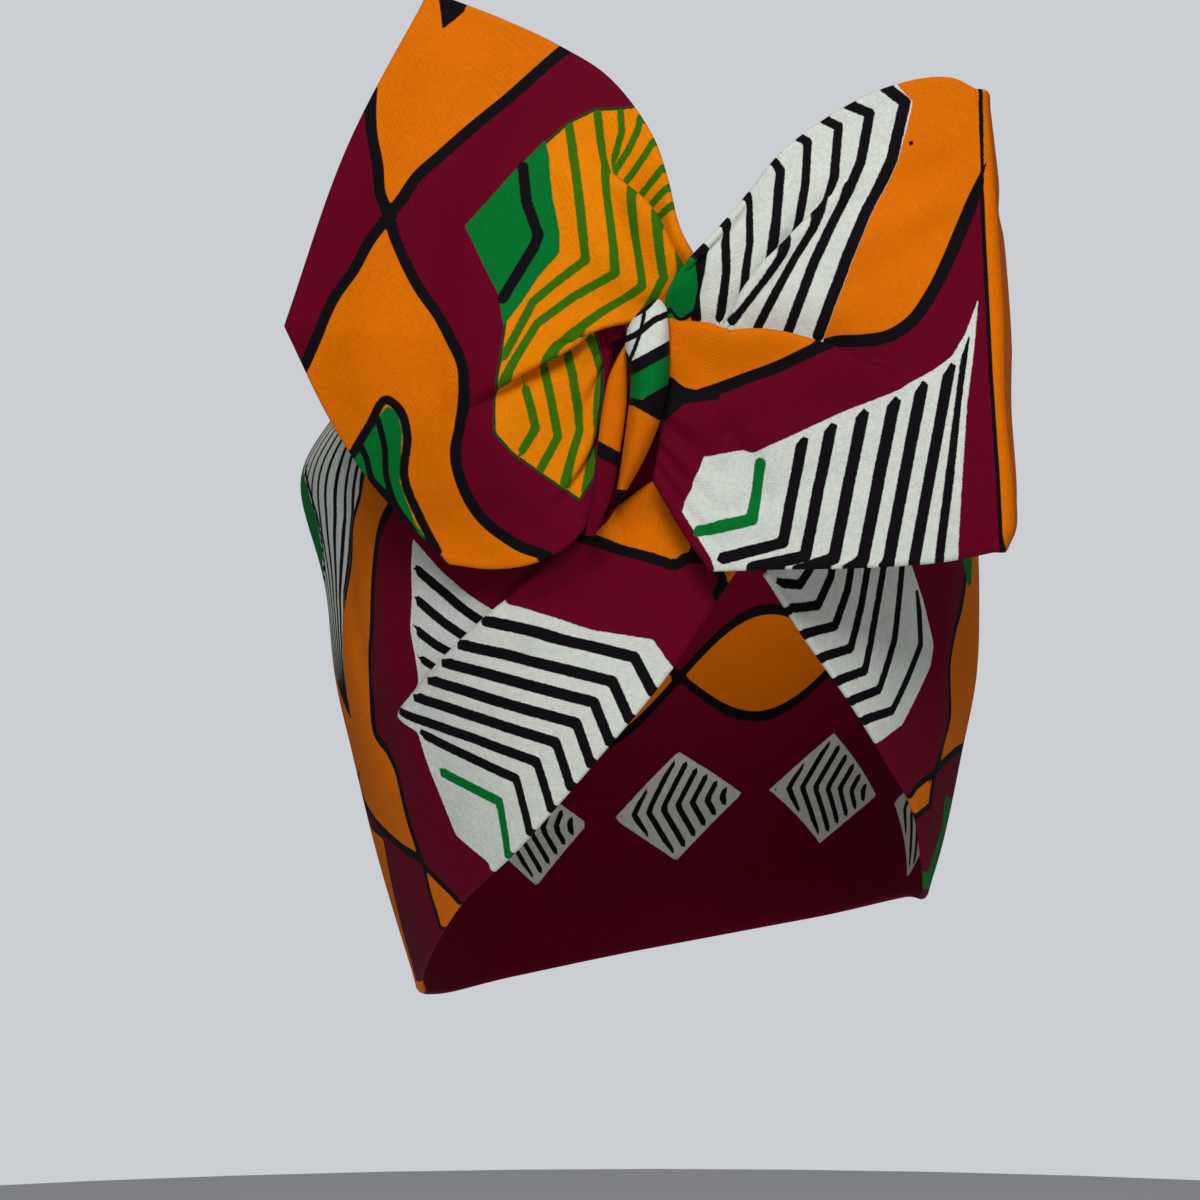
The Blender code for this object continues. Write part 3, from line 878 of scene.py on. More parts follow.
# %% The left wing's charts
LEFT_OVALS = [
    ("orange loop", 1.3, [
        (-60, 87), (-62, 92), (-62.5, 98), (-64, 106), (-64, 115), (-61, 128), (-51, 150), (-14, 146),
        (-2, 136), (-21.5, 123.5), (-33.5, 113), (-41, 107), (-48.5, 100.5), (-54, 95.5), (-57, 91),
    ]),
    ("orange loop", 1.25, [
        (-60, 87), (-64.5, 81), (-68, 74.5), (-72, 69), (-77, 58), (-79, 53.5), (-84, 45), (-76, 12),
        (-45, -9), (-22, 0), (-22.5, 8.5), (-31, 12.5), (-40, 20), (-43.5, 26.5), (-45, 33), (-44, 39.5),
        (-43, 47), (-43.5, 53.5), (-46, 59), (-49, 64.5), (-53, 70), (-56.5, 76.5), (-59, 82.5),
    ]),
    ("black area", 0, [(-49, 138), (-42, 136), (-43, 133), (-48, 129)]),
    ("green area", 0, [
        (-60.5, 44), (-58, 43), (-57, 38), (-57.5, 27), (-54, 17.5), (-50, 12), (-52, 9), (-59, 19.5),
        (-69.5, 31), (-66, 37),
    ]),
    ("black line", 1.0, [
        (-69, 32), (-64.5, 39.5), (-60.5, 45.5), (-57.5, 43), (-56, 38.5), (-56.5, 28), (-52.5, 18),
        (-49, 11),
    ]),
    ("black line", 0.7, [(-62.5, 41), (-61, 35), (-60.5, 28), (-59, 23), (-54.5, 16), (-51, 11)]),
    ("black line", 0.7, [(-66.5, 35.5), (-65, 32), (-64, 28), (-61.5, 25), (-57.5, 19.5)]),
]
LEFT_LOZENGE = [
    ("gold area", 0, [
        (-42, 84.5), (-36.5, 90.5), (-31.5, 96), (-24.5, 103), (-19.5, 107.5), (-13.5, 110.5), (-4, 111),
        (8, 113.5), (28, 90), (24, 41), (-3.5, 27), (-26, 27), (-36, 37.5), (-36, 46.5), (-34.5, 54),
        (-33.5, 63), (-34.5, 69), (-38, 76),
    ]),
    ("green area", 0, [
        (-42.8, 84.5), (-37, 91.1), (-32, 96.7), (-24.8, 103.9), (-24, 101), (-23, 91), (-21.5, 83.5),
        (-21.5, 78.5), (-26, 73.5), (-30, 67.5), (-34.2, 62), (-35.3, 69), (-38.8, 76),
    ]),
    ("black bend", 1.25, [
        (-29.8, 97.8), (-29, 90), (-26.3, 82.5), (-27.5, 79.5), (-31.5, 73), (-34.4, 68.2),
    ]),
    ("stripes", 0, [
        (0, 1.0, [(-19.5, 107.5), (-17.5, 93.5), (-15.5, 77), (-21.5, 72.5), (-27.5, 67.5), (-34, 55)]),
        (1, 1.0, [(-13, 110.5), (-11.5, 98.5), (-9, 74), (-18.5, 68.5), (-26.5, 62.5), (-35.5, 47.5)]),
        (2, 1.0, [(-7.5, 110.5), (-5.5, 93.5), (-3, 71), (-12.5, 64.5), (-22.5, 57), (-35.5, 40)]),
        (3, 1.0, [(-2.5, 110.5), (0, 87.5), (2, 73), (-3.5, 63.5), (-14.5, 52), (-33, 31.5)]),
        (5, 1.0, [(6.5, 110.5), (8, 84), (9.5, 76.5), (8, 59), (-1, 41), (-24, 20.5)]),
    ]),
]
LEFT_LOBE = [
    ("gold area", 0, [
        (-17, 23), (-14, 28), (-13.5, 31.5), (-14, 37), (-12.5, 46), (-12, 52), (-13.5, 58), (-14.5, 68),
        (-35, 63.5), (-36, 46.5), (-36, 38), (-32, 33.5), (-27, 30), (-22, 26.5),
    ]),
    ("orange area", 0, [(-6.5, 62.5), (-9.8, 50), (-8.2, 46.5), (-4, 54)]),
    ("stripes", 0, [
        (0, 1.0, [(-29, 47.5), (-28, 43.5), (-27, 39), (-30, 34)]),
        (1, 1.0, [(-25, 53), (-23.5, 45.5), (-22, 37), (-26, 29.5)]),
        (2, 1.0, [(-20, 58), (-18.5, 50), (-17, 38.5), (-20.5, 26.5)]),
        (3, 1.0, [(-14.5, 59), (-12.5, 52.5), (-13, 38.5), (-15.5, 24.5)]),
    ]),
]
LEFT_TUCK = [
    ("gold area", 0, [
        (-31.5, 96), (-24.5, 103), (-19.5, 107.5), (-13.5, 110.5), (-4, 111), (8, 113.5), (14, 88),
        (10, 73), (-3.5, 68),
    ]),
    ("stripes", 0, [
        (2, 0.8, [(-7.8, 111.5), (-7.4, 106), (-8.7, 101), (-11, 96)]),
        (3, 0.8, [(-3, 110.5), (-3.7, 106.5), (-6, 101.5), (-10, 95.5)]),
        (4, 0.8, [(0.5, 105), (-2.2, 100.5), (-5, 96.5), (-9.5, 91)]),
        (5, 0.8, [(3, 99.5), (0, 95.3), (-3.4, 91.2), (-8, 86)]),
        (7, 0.8, [(9, 93.5), (4.5, 90), (1, 86.5), (-3, 82)]),
    ]),
]
LEFT_CHARTS = {
    "middle": LEFT_OVALS + LEFT_LOZENGE,
    "below the overhang": LEFT_OVALS + LEFT_LOBE,
    "above the tuck": LEFT_OVALS + LEFT_TUCK,
}
# The cut above the tuck shows only right of this place.
TUCK_STARTS_AT = -9.8


def left_panels(across, along, spots):
    """Which part of the left wing each point is on: the fold lines part them."""
    overhang = by_column(LEFT_FOLDS["overhang"])
    tuck = by_column(LEFT_FOLDS["upper tuck"])
    below = across < fold_line(overhang, along)
    above = (across > fold_line(tuck, along)) & (spots[..., 0] > TUCK_STARTS_AT)
    return {"middle": ~(below | above), "below the overhang": below, "above the tuck": above}


# %% [markdown]
# The right wing's charts
#
# A white lozenge with black chevrons lies on the front panel, and the cut above the fold shows another
# one, standing upright. A thick black line parts orange from maroon beside each, and a thin one runs down
# along the crease.

# %% The right wing's charts
RIGHT_GROUND = [
    ("orange loop", 1.45, [
        (-3.5, 45.5), (1, 46), (4.5, 46.5), (8.5, 46), (12, 47), (20, 50), (28, 53), (35.5, 56.5),
        (41, 58.5), (47, 58.8), (53, 59.8), (58, 63), (62, 68.5), (67, 78.5), (71.5, 89.5), (75, 96.5),
        (79, 104), (82, 112), (82, 122), (76, 132), (-3.5, 132),
    ]),
    ("black line", 0.4, [(73.2, 119), (73.7, 106), (74, 94)]),
    ("black area", 0, [
        (0, 52), (3.4, 51), (6.8, 48.2), (11.3, 47.1), (14.7, 48.7), (14.7, 45.3), (10.6, 44.8),
        (6.8, 44.2), (2.3, 40.8), (0, 40),
    ]),
    ("orange area", 0.5, [
        (75.5, 132), (73.5, 122), (73.7, 93), (74.6, 75.5), (75.8, 52), (77.4, 28.5), (78.2, 12.5),
        (79, 4.5), (99, 2), (101, 63.5), (96.5, 132),
    ]),
]
RIGHT_FRONT = RIGHT_GROUND + [
    ("white area", 0.9, [
        (11, 32.5), (20, 34), (22.5, 33.5), (31.5, 37.5), (43.5, 43), (55, 47.5), (63, 52), (67, 55),
        (70, 60), (73, 68), (72, 56), (70.5, 44.5), (69, 21), (68, 2), (14.5, 2), (13, 9), (6, 20),
    ]),
    ("green bend", 1.35, [(24, 31), (22, 18.2), (10, 15.6)]),
    ("stripes", 0, [
        (0, 1.3, [(33.5, 36.5), (29, 13), (13.5, 9)]),
        (1, 1.35, [(40, 40), (34, 10), (22, 7.5)]),
        (3, 1.45, [(54.5, 47), (47, 9), (42, 6)]),
        (5, 1.35, [(67.5, 57), (58.5, 8), (55.5, 2.5)]),
        (6, 1.0, [(71.5, 65), (64, 7.5), (62.5, 0)]),
    ]),
]
RIGHT_UPPER = RIGHT_GROUND + [
    ("white area", NO_MARGIN, [
        (51, 119), (55, 116), (58.3, 112.6), (56.8, 106.2), (54.8, 99.1), (52.2, 93.5), (48.7, 86.5),
        (46.3, 81), (44.3, 76.1), (38.3, 59.7), (37, 52), (8, 52), (8, 76.5), (10, 81.5), (28.5, 108.5),
    ]),
    ("green area", 0, [(-2, 66), (-2, 71), (5, 74), (9, 77.5), (9.5, 71), (8.5, 65), (5, 63)]),
    ("black line", 0.5, [(-2, 64.5), (2.5, 66), (5.5, 63.5), (8.8, 65.5)]),
    ("black area", 0, [(57.3, 103.6), (58.2, 103.8), (58.4, 102.9), (57.5, 102.6)]),
]
# The lozenge's outer stripes are in front of the fold, and the inner ones run down behind it.
RIGHT_BESIDE_FOLD = RIGHT_UPPER + [
    ("stripes", 0, [
        (0, 1.35, [(51, 116.5), (56.5, 112.5), (53.5, 99.5), (47.5, 87), (43, 76.5), (37, 60)]),
        (1, 1.15, [(43, 112), (48.5, 110), (46.5, 99), (39.5, 84), (36, 76.5), (30, 60.5)]),
        (2, 1.05, [(38, 108.5), (41.5, 107), (40.5, 96), (35.5, 84), (31.5, 77.5), (23, 61.5)]),
        (3, 0.8, [(31, 104.5), (34.5, 103.5), (34, 94), (29, 79), (25, 73), (17.5, 63)]),
    ]),
]
RIGHT_BEHIND_FOLD = RIGHT_UPPER + [
    ("stripes", 0, [
        (0, 1.35, [(51, 116.5), (56.5, 112.5), (53.5, 99.5), (45, 81.5), (37, 60)]),
        (1, 1.15, [(43, 112), (48.5, 110), (46.5, 99), (40.5, 84), (33, 66)]),
        (2, 1.05, [(38, 108.5), (41.5, 107), (40.5, 96), (37, 84), (31, 69)]),
        (3, 1.0, [(31, 105), (34.5, 103.5), (34, 94), (31.5, 82), (29, 70)]),
        (4, 1.05, [(25, 102), (28.5, 97), (27.5, 86), (26, 77.5), (25, 64)]),
        (5, 0.95, [(20, 97), (21.5, 88), (21.5, 80.5), (20.5, 74.5), (19, 64)]),
        (6, 0.9, [(16, 86.5), (16, 79.5), (16, 74), (15.5, 70), (14.5, 64)]),
        (7, 1.7, [(10.5, 79), (9.5, 74), (9, 72), (8.5, 69), (9, 64)]),
    ]),
]
RIGHT_CHARTS = {
    "front": RIGHT_FRONT,
    "beside the fold": RIGHT_BESIDE_FOLD,
    "behind the fold": RIGHT_BEHIND_FOLD,
}
# Past the end of the front panel's fold, the two charts meet on a line through two places.
RIGHT_SEAM = ((50, 50), (75, 110))


def right_panels(across, along, spots):
    """Which part of the right wing each point is on. The columns past the crease are part of the front."""
    edge = by_column(RIGHT_FOLDS["front panel edge"])
    (first_u, first_v), (second_u, second_v) = RIGHT_SEAM
    seam = first_v + (spots[..., 0] - first_u) * (second_v - first_v) / (second_u - first_u)
    upper = across > fold_line(edge, along)
    flange = np.zeros((len(across), spots.shape[1] - across.shape[1]), bool)
    upper = np.concatenate([upper, flange], axis=1) & (spots[..., 1] > seam)
    fold = by_column(RIGHT_FOLDS["stripe fold"])
    behind = (across > fold_line(fold, along)) & (along < fold["reach"])
    behind = np.concatenate([behind, flange], axis=1) & upper
    return {"front": ~upper, "beside the fold": upper & ~behind, "behind the fold": behind}


# %% [markdown]
# The band's charts
#
# The band's charts are unrolled: millimetres round the head from the forehead, 1.6 to a degree, and the
# height. At the left a long pleat parts two cuts of a white lozenge, and at the right another lozenge
# sits under the bow. Behind both silhouettes, where the photograph shows nothing, the chain of ovals and
# lozenges goes on by a formula.

# %% The band's charts
BAND_LEFT_SIDE = [
    ("orange loop", 1.2, [
        (-81.5, -62), (-84.5, -54), (-86, -45.5), (-89.5, -37.5), (-95.5, -32), (-94.5, -25), (-92, -16),
        (-88.5, -8.5), (-85.5, 2.5), (-81.5, 11), (-77.5, 17), (-73, 22), (-66, 32), (-60, 48), (-92, 50),
        (-85, 32), (-87, 25.5), (-92, 19.5), (-97, 11.5), (-105, 1.5), (-110, -10.5), (-111.5, -20),
        (-113, -30), (-118, -40), (-130, -46), (-114, -54), (-103, -57), (-92, -60),
    ]),
    ("orange area", 1.2, [
        (-108, -30), (-105, 1.5), (-112, 8), (-150, 6), (-160, -20), (-150, -42), (-130, -46), (-118, -43),
    ]),
    ("orange area", 0.9, [
        (-81.5, -63), (-78, -65), (-67.5, -70), (-61, -75), (-72, -84), (-79, -79), (-81, -71),
    ]),
    ("white area", NO_MARGIN, [
        (-122, 52), (-83, 48), (-85.5, 34), (-87, 25.5), (-92, 19.5), (-97, 11.5), (-105, 1.5),
        (-110, -10.5), (-111.5, -20), (-113, -30), (-121, -24), (-130, -14), (-134, -3), (-133, 8),
        (-131, 20), (-128, 34),
    ]),
    ("green area", 0, [(-130, 34), (-118, 28), (-114, 20), (-118, 12), (-130, 5), (-150, 0), (-150, 34)]),
    ("black line", 0.9, [(-124, 33), (-116, 27), (-113.5, 20), (-118, 11), (-131, 4)]),
    ("stripes", 0, [
        (0, 0.85, [(-83, 48), (-91.5, 20.5), (-105, 1.5), (-111.5, -20), (-113, -30)]),
        (8, 0.6, [(-122, 52), (-131, 20), (-134, -3), (-124, -21), (-113, -30)]),
    ]),
    ("orange area", 0.6, [
        (-107, -58), (-110, -66), (-116, -82), (-118, -92), (-118, -112), (-150, -112), (-150, -54),
    ]),
]
BAND_BESIDE_PLEAT = [
    ("white area", 0.6, [
        (-66, 14.5), (-57, 7), (-49.5, 2), (-42, -2.5), (-38, -6), (-58, -30), (-69, -22), (-68.5, -13),
        (-69.5, -6.5), (-68, 1.5), (-67.5, 8),
    ]),
    ("stripes", 0, [
        (0, 1.3, [(-65, 7), (-55, 1), (-43, -7)]),
        (2, 1.25, [(-66, -7.5), (-60.5, -10.5), (-53, -14)]),
        (3, 1.1, [(-66, -14), (-63, -15.5), (-59, -18)]),
    ]),
]
BAND_UNDER_PLEAT = [
    ("white area", 0.6, [
        (-50, -8), (-38.5, 0), (-29, -3), (-14, -7), (-0.5, -9), (4, -15), (10, -23), (-27, -60),
        (-48, -68), (-50.5, -61), (-56.5, -58), (-62, -55), (-66, -46), (-69, -37), (-70.5, -31),
        (-77, -27.5), (-77, -24.5), (-70, -22), (-62, -17),
    ]),
    ("stripes", 0, [
        (0, 1.35, [(-48, -3.5), (-29, -7.5), (-5, -13), (0, -22)]),
        (1, 1.35, [(-56, -9), (-33, -13.5), (-10.5, -18.5), (-5.5, -29)]),
        (3, 1.35, [(-66, -17.5), (-40, -23.5), (-20, -28), (-16, -39.5)]),
        (5, 1.25, [(-76, -26.5), (-50, -32), (-31.5, -37), (-28, -49)]),
        (6, 1.2, [(-72, -30.5), (-52, -36.5), (-38, -41), (-35, -55)]),
    ]),
    ("green bend", 1.2, [(-63.5, -40.3), (-53, -43.5), (-44, -46.5), (-43, -62)]),
    ("orange area", 0, [(-3.9, 31.8), (0.3, 26.8), (1.1, 27.5), (-2.8, 32.6)]),
    ("green area", 0, [(-3.8, 30.6), (-2.4, 28.8), (-7.7, 24.4), (-6.3, 27.2)]),
    ("orange area", 0, [
        (-1, 28), (-15.5, 13.5), (-8, 11.5), (1, 9), (5, 8), (7, 9.5), (12, 9.5), (2, 25.5),
    ]),
    ("black line", 1.3, [(-18, 14.5), (-15.5, 14), (-8, 11.5), (1, 9), (5, 8), (7.5, 9.5), (12, 9.5)]),
    ("black line", 1.1, [(0.5, 27), (4.5, 21.5), (12, 9.5), (16.5, 5), (15, 1)]),
    ("orange area", 0, [(15.5, 8.5), (21, 9), (19.5, 4.5), (17.5, 4)]),
]
BAND_RIGHT_SIDE = [
    ("white area", 0.6, [
        (28, 8), (39, 14), (74.5, 14), (76, 8), (81.5, -1), (86, -10.5), (85, -15.5), (75, -29.5),
        (67, -33), (58, -33), (44, -20),
    ]),
    ("stripes", 0, [
        (0, 1.15, [(31, 4), (38, 3.5), (42, 8.5), (43, 14)]),
        (2, 1.15, [(38, -8), (48.5, -6), (52.5, 2.5), (55, 14)]),
        (4, 1.15, [(48, -19), (58.5, -16.5), (61.5, -4.5), (66.5, 14)]),
        (5, 1.15, [(53.5, -23.5), (64, -21), (69, -9), (73, 14)]),
        (6, 1.15, [(59, -28), (70, -26), (80, -10.5), (77.5, 12)]),
    ]),
    ("orange loop", 1.2, [
        (96, -41), (98, -36.5), (101, -29.5), (97.5, -22.5), (95, -15), (98, -8), (104, -1), (108, 6),
        (112, 16), (125, 24), (140, 10), (138, -20), (132, -34), (112, -37.5),
    ]),
    ("orange area", 0.9, [(96, -41.5), (96, -45), (97, -50), (86, -53), (82, -49), (87, -45)]),
    ("green area", 0, [(104, 12), (116, 13), (114, 4), (110, 3)]),
    ("green area", 0, [(112, -48), (116, -56), (110, -70), (106, -82), (122, -84), (126, -50)]),
]
BAND_CHARTS = {
    "left of the pleat": BAND_LEFT_SIDE + BAND_BESIDE_PLEAT,
    "under the pleat": BAND_LEFT_SIDE + BAND_UNDER_PLEAT,
    "right": BAND_RIGHT_SIDE,
}
# So far round the head the charts reach, and over the second length the chain of ovals takes over.
BACK_FROM = 134.0
BACK_BLEND = 34.0
OVAL = {"length": 112.0, "half_height": 15.0, "middle": -22.0, "sway": 6.0, "line": 1.2}
LOZENGE = {
    "half_length": 23.0,
    "half_height": 15.0,
    "from_middle": 36.0,
    "stripe": 5.2,
    "half_stripe": 1.15,
    "lean": 0.7,
    "margin": 0.9,
}
# How much of the upright distance to a slanting edge is the distance square to it.
SLOPE = 0.8
PAST_PLEAT = 0.02


def chain_of_ovals(arc, height):
    """The print where the photograph doesn't show it.

    The ovals lie between two sine waves that cross every half length, and a lozenge sits above and below
    each crossing. Its edge is where the two parts of its half sizes add up to 1, and SLOPE turns the rest
    into a distance. The chevrons are lines on which the way along plus the lean times the way up is the same.
    """
    phase = 2 * np.pi * arc / OVAL["length"]
    middle = OVAL["middle"] + OVAL["sway"] * np.cos(phase / 2)
    layers = blank(arc.shape)
    layers["orange"] = SLOPE * (abs(height - middle) - OVAL["half_height"] * abs(np.sin(phase)))
    layers["outline"][:] = OVAL["line"]
    half_length = OVAL["length"] / 2
    bay = (arc + half_length / 2) % half_length - half_length / 2
    for side in (-1, 1):
        up = height - middle - side * LOZENGE["from_middle"]
        reach = abs(bay) / LOZENGE["half_length"] + abs(up) / LOZENGE["half_height"]
        layers["white"] = np.minimum(layers["white"], (reach - 1) * SLOPE * LOZENGE["half_height"])
        number = (bay + LOZENGE["lean"] * abs(up)) / LOZENGE["stripe"]
        layers["stripe"] = np.where(up * side > -LOZENGE["half_height"], number, layers["stripe"])
    layers["gap"][:] = LOZENGE["stripe"]
    layers["half"][:] = LOZENGE["half_stripe"]
    layers["margin"][:] = LOZENGE["margin"]
    return layers


def band_panels(across, along):
    """Which cut of the print each point of the band has."""
    pleat = by_column(BAND_FOLDS["long pleat"])
    left_end = np.broadcast_to(along < 0.5, across.shape)
    under = left_end & (across < fold_line(pleat, along)) & (along < pleat["reach"] + PAST_PLEAT)
    return {"left of the pleat": left_end & ~under, "under the pleat": under, "right": ~left_end}


# %% [markdown]
# The knot's charts
#
# The cloth that is wound over the knot shows short cuts of the pattern, one above the other.

# %% The knot's charts
KNOT_CHART = [
    ("white area", NO_MARGIN, [(-12, 72), (8, 72), (8, 59), (-1, 55.5), (-5, 54), (-12, 52)]),
    ("black line", 0.7, [(-8, 62.5), (-5.9, 64.1), (-2.3, 66), (0, 68.5)]),
    ("black line", 0.75, [(-10, 57.6), (-6.9, 58.9), (-3.9, 60.4), (-0.3, 63.3), (3.5, 65)]),
    ("black line", 0.45, [(-2.4, 65), (-3.4, 60.5), (-5, 56), (-6.2, 53.5)]),
    ("black area", 0, [(-9, 57.6), (-6.9, 57), (-5.2, 54), (-5.4, 51), (-9, 51)]),
    ("black line", 1.45, [(-9, 50.7), (-4.9, 52.7), (3, 57), (8, 59.7)]),
    ("green area", 0, [
        (-9, 49.8), (-4.9, 51.6), (3, 55.4), (7, 57.4), (7, 51), (2.6, 48.6), (-3.2, 45.3), (-9, 45),
    ]),
    ("black area", 0, [
        (-10, 45.8), (-4.9, 45.8), (-3.2, 45.3), (2.6, 48.6), (7, 51), (7, 42), (0.85, 40.7), (-4.9, 44),
        (-10, 45),
    ]),
    ("orange area", 0, [(-12, 46), (8, 46), (8, 24), (-12, 24)]),
    ("black area", 0, [(-12, 25.3), (-3, 24.7), (-3, 18), (-12, 18)]),
]
SIDE_FOLD_CHART = [
    ("orange area", 0, [(-20, 34), (0, 30), (0, 66), (-20, 66)]),
    ("black line", 1.6, [(-15, 35.5), (-10.5, 33), (-7.5, 31.5), (-3, 29.5)]),
]

# %% [markdown]
# The finish of printed cotton
#
# Wax-print cotton is a plain weave of fine threads, dyed from both sides through a resist. Its edges
# waver by a tenth of a millimetre, the undyed white keeps a faint bloom, and the calendered face has a
# low sheen. Three node groups make this: the print from the layers' distances, the mottling, and the
# weave from the cloth's own lengths.

# %% Node helpers
def new_group(name, inputs, outputs):
    """A node group with its sockets: inputs are label, kind and value, outputs are label and kind."""
    group = bpy.data.node_groups.new(name, "ShaderNodeTree")
    for label, kind, value in inputs:
        socket = group.interface.new_socket(label, in_out="INPUT", socket_type="NodeSocket" + kind)
        socket.default_value = value
    for label, kind in outputs:
        group.interface.new_socket(label, in_out="OUTPUT", socket_type="NodeSocket" + kind)
    return group, group.nodes.new("NodeGroupInput").outputs, group.nodes.new("NodeGroupOutput").inputs


def wire(tree, value, socket):
    """Links a socket to another one, or sets it where the value is a plain number."""
    if isinstance(value, bpy.types.NodeSocket):
        tree.links.new(value, socket)
    else:
        socket.default_value = value


def calculate(tree, operation, first, second=0.0, clamped=False):
    """The output of one math node."""
    node = tree.nodes.new("ShaderNodeMath")
    node.operation = operation
    node.use_clamp = clamped
    wire(tree, first, node.inputs[0])
    wire(tree, second, node.inputs[1])
    return node.outputs[0]


def mixed(tree, share, first, second):
    """The colour that is the first where the share is 0 and the second where it is 1."""
    node = tree.nodes.new("ShaderNodeMix")
    node.data_type = "RGBA"
    wire(tree, share, node.inputs["Factor"])
    wire(tree, first, node.inputs["A"])
    wire(tree, second, node.inputs["B"])
    return node.outputs["Result"]


def noise(tree, place, per_metre, detail):
    """The value of a noise texture with that many features to the metre."""
    node = tree.nodes.new("ShaderNodeTexNoise")
    node.inputs["Scale"].default_value = per_metre
    node.inputs["Detail"].default_value = detail
    wire(tree, place, node.inputs["Vector"])
    return node.outputs["Fac"]


def attribute(tree, name):
    """The value of one of the cloth's own attributes."""
    node = tree.nodes.new("ShaderNodeAttribute")
    node.attribute_name = name
    return node.outputs["Fac"]


def group_node(tree, group, **values):
    """A node that uses the group, with some of its inputs set."""
    node = tree.nodes.new("ShaderNodeGroup")
    node.node_tree = group
    for label, value in values.items():
        wire(tree, value, node.inputs[label])
    return node


# %% The wax print
def display(red, green, blue):
    """A colour on a screen, from 0 to 255, as the light that the shader works with: the sRGB curve."""
    shown = np.array((red, green, blue)) / 255
    light = np.where(shown <= 0.04045, shown / 12.92, ((shown + 0.055) / 1.055) ** 2.4)
    return (*light.tolist(), 1.0)


DYES = {
    "Maroon": display(99, 0, 30),
    "Orange": display(216, 108, 0),
    "Black": display(14, 11, 14),
    "White": display(208, 212, 203),
    "Gold": display(226, 126, 0),
    "Green": display(0, 110, 42),
    "Olive": display(54, 104, 6),
    "Rim": display(8, 66, 26),
}
EDGE_SOFTNESS = 0.10
WAVER_HEIGHT = 0.32
WAVER_PER_METRE = 1100
WAVER_DETAIL = 1.5
OUTLINE_OF_GOLD = 0.6
LEAST_HALF = 0.1


def make_wax_print():
    """Layer on layer: ground, ovals, their outlines, lozenges, stripes, green and last the black lines."""
    group, given, made = new_group(
        "wax print",
        [(name, "Color", dye) for name, dye in DYES.items()],
        [("Color", "Color"), ("Pale", "Float")],
    )
    place = group.nodes.new("ShaderNodeTexCoord").outputs["Object"]
    waver = calculate(group, "SUBTRACT", noise(group, place, WAVER_PER_METRE, WAVER_DETAIL), 0.5)
    waver = calculate(group, "MULTIPLY", waver, WAVER_HEIGHT)

    def share(distance, wider=0.0):
        """1 where the distance is negative and 0 where it is positive, with a short ramp between."""
        ramp = calculate(group, "MULTIPLY", distance, -0.5 / EDGE_SOFTNESS)
        return calculate(group, "ADD", ramp, 0.5 + 0.5 * wider / EDGE_SOFTNESS, clamped=True)

    orange, white_edge, gold_edge, green_edge, black_edge = (
        calculate(group, "ADD", attribute(group, layer), waver) for layer in SIGNED
    )
    white = share(white_edge)
    gold = share(gold_edge)
    green = share(green_edge)
    line = calculate(group, "SUBTRACT", calculate(group, "ABSOLUTE", orange), attribute(group, "outline"))
    has_line = calculate(group, "GREATER_THAN", attribute(group, "outline"), LEAST_HALF)
    line = calculate(group, "MULTIPLY", share(calculate(group, "ADD", line, waver)), has_line)
    number = attribute(group, "stripe")
    off = calculate(group, "SUBTRACT", number, calculate(group, "ROUND", number))
    off = calculate(group, "MULTIPLY", calculate(group, "ABSOLUTE", off), attribute(group, "gap"))
    from_edge = calculate(group, "MULTIPLY", calculate(group, "MINIMUM", white_edge, gold_edge), -1.0)
    room = calculate(group, "SUBTRACT", from_edge, attribute(group, "margin"))
    off = calculate(group, "SUBTRACT", off, calculate(group, "MINIMUM", attribute(group, "half"), room))
    stripe_share = share(calculate(group, "ADD", off, waver))
    has_stripe = calculate(group, "GREATER_THAN", attribute(group, "half"), LEAST_HALF)
    stripe_share = calculate(group, "MULTIPLY", stripe_share, has_stripe)
    colour = mixed(group, share(orange), given["Maroon"], given["Orange"])
    colour = mixed(group, line, colour, given["Black"])
    colour = mixed(group, white, colour, given["White"])
    colour = mixed(group, share(gold_edge, OUTLINE_OF_GOLD), colour, given["Rim"])
    colour = mixed(group, gold, colour, given["Gold"])
    stripe = mixed(group, gold, given["Black"], given["Olive"])
    lozenge = calculate(group, "MAXIMUM", white, gold)
    colour = mixed(group, calculate(group, "MULTIPLY", stripe_share, lozenge), colour, stripe)
    colour = mixed(group, green, colour, given["Green"])
    wire(group, mixed(group, share(black_edge), colour, given["Black"]), made["Color"])
    wire(group, white, made["Pale"])
    return group


# %% Mottling and weave
MOTTLE_LARGE_PER_METRE = 40
MOTTLE_FINE_PER_METRE = 900
THREAD_PITCH = 0.42
THREAD_HEIGHT = 0.12 * MM
SLUB_PER_METRE = 260
SLUB_HEIGHT = 1.6
WANDER_PER_METRE = 700
WANDER = 5.0
CLOUDY = 0.16
GRAINY = 0.2
SOFT_DETAIL = 2.0
FINE_DETAIL = 3.0
WEAVE_DEPTH = 0.45


def make_mottling():
    """A brightness near 1: cloudy at 25 mm, grainy at 1 mm."""
    group, given, made = new_group(
        "mottling",
        [("Cloudy", "Float", CLOUDY), ("Grainy", "Float", GRAINY)],
        [("Brightness", "Float")],
    )
    place = group.nodes.new("ShaderNodeTexCoord").outputs["Object"]
    cloudy = calculate(group, "SUBTRACT", noise(group, place, MOTTLE_LARGE_PER_METRE, SOFT_DETAIL), 0.5)
    grainy = calculate(group, "SUBTRACT", noise(group, place, MOTTLE_FINE_PER_METRE, FINE_DETAIL), 0.5)
    cloudy = calculate(group, "MULTIPLY", cloudy, given["Cloudy"])
    grainy = calculate(group, "MULTIPLY", grainy, given["Grainy"])
    total = calculate(group, "ADD", cloudy, grainy)
    wire(group, calculate(group, "ADD", total, 1.0), made["Brightness"])
    return group


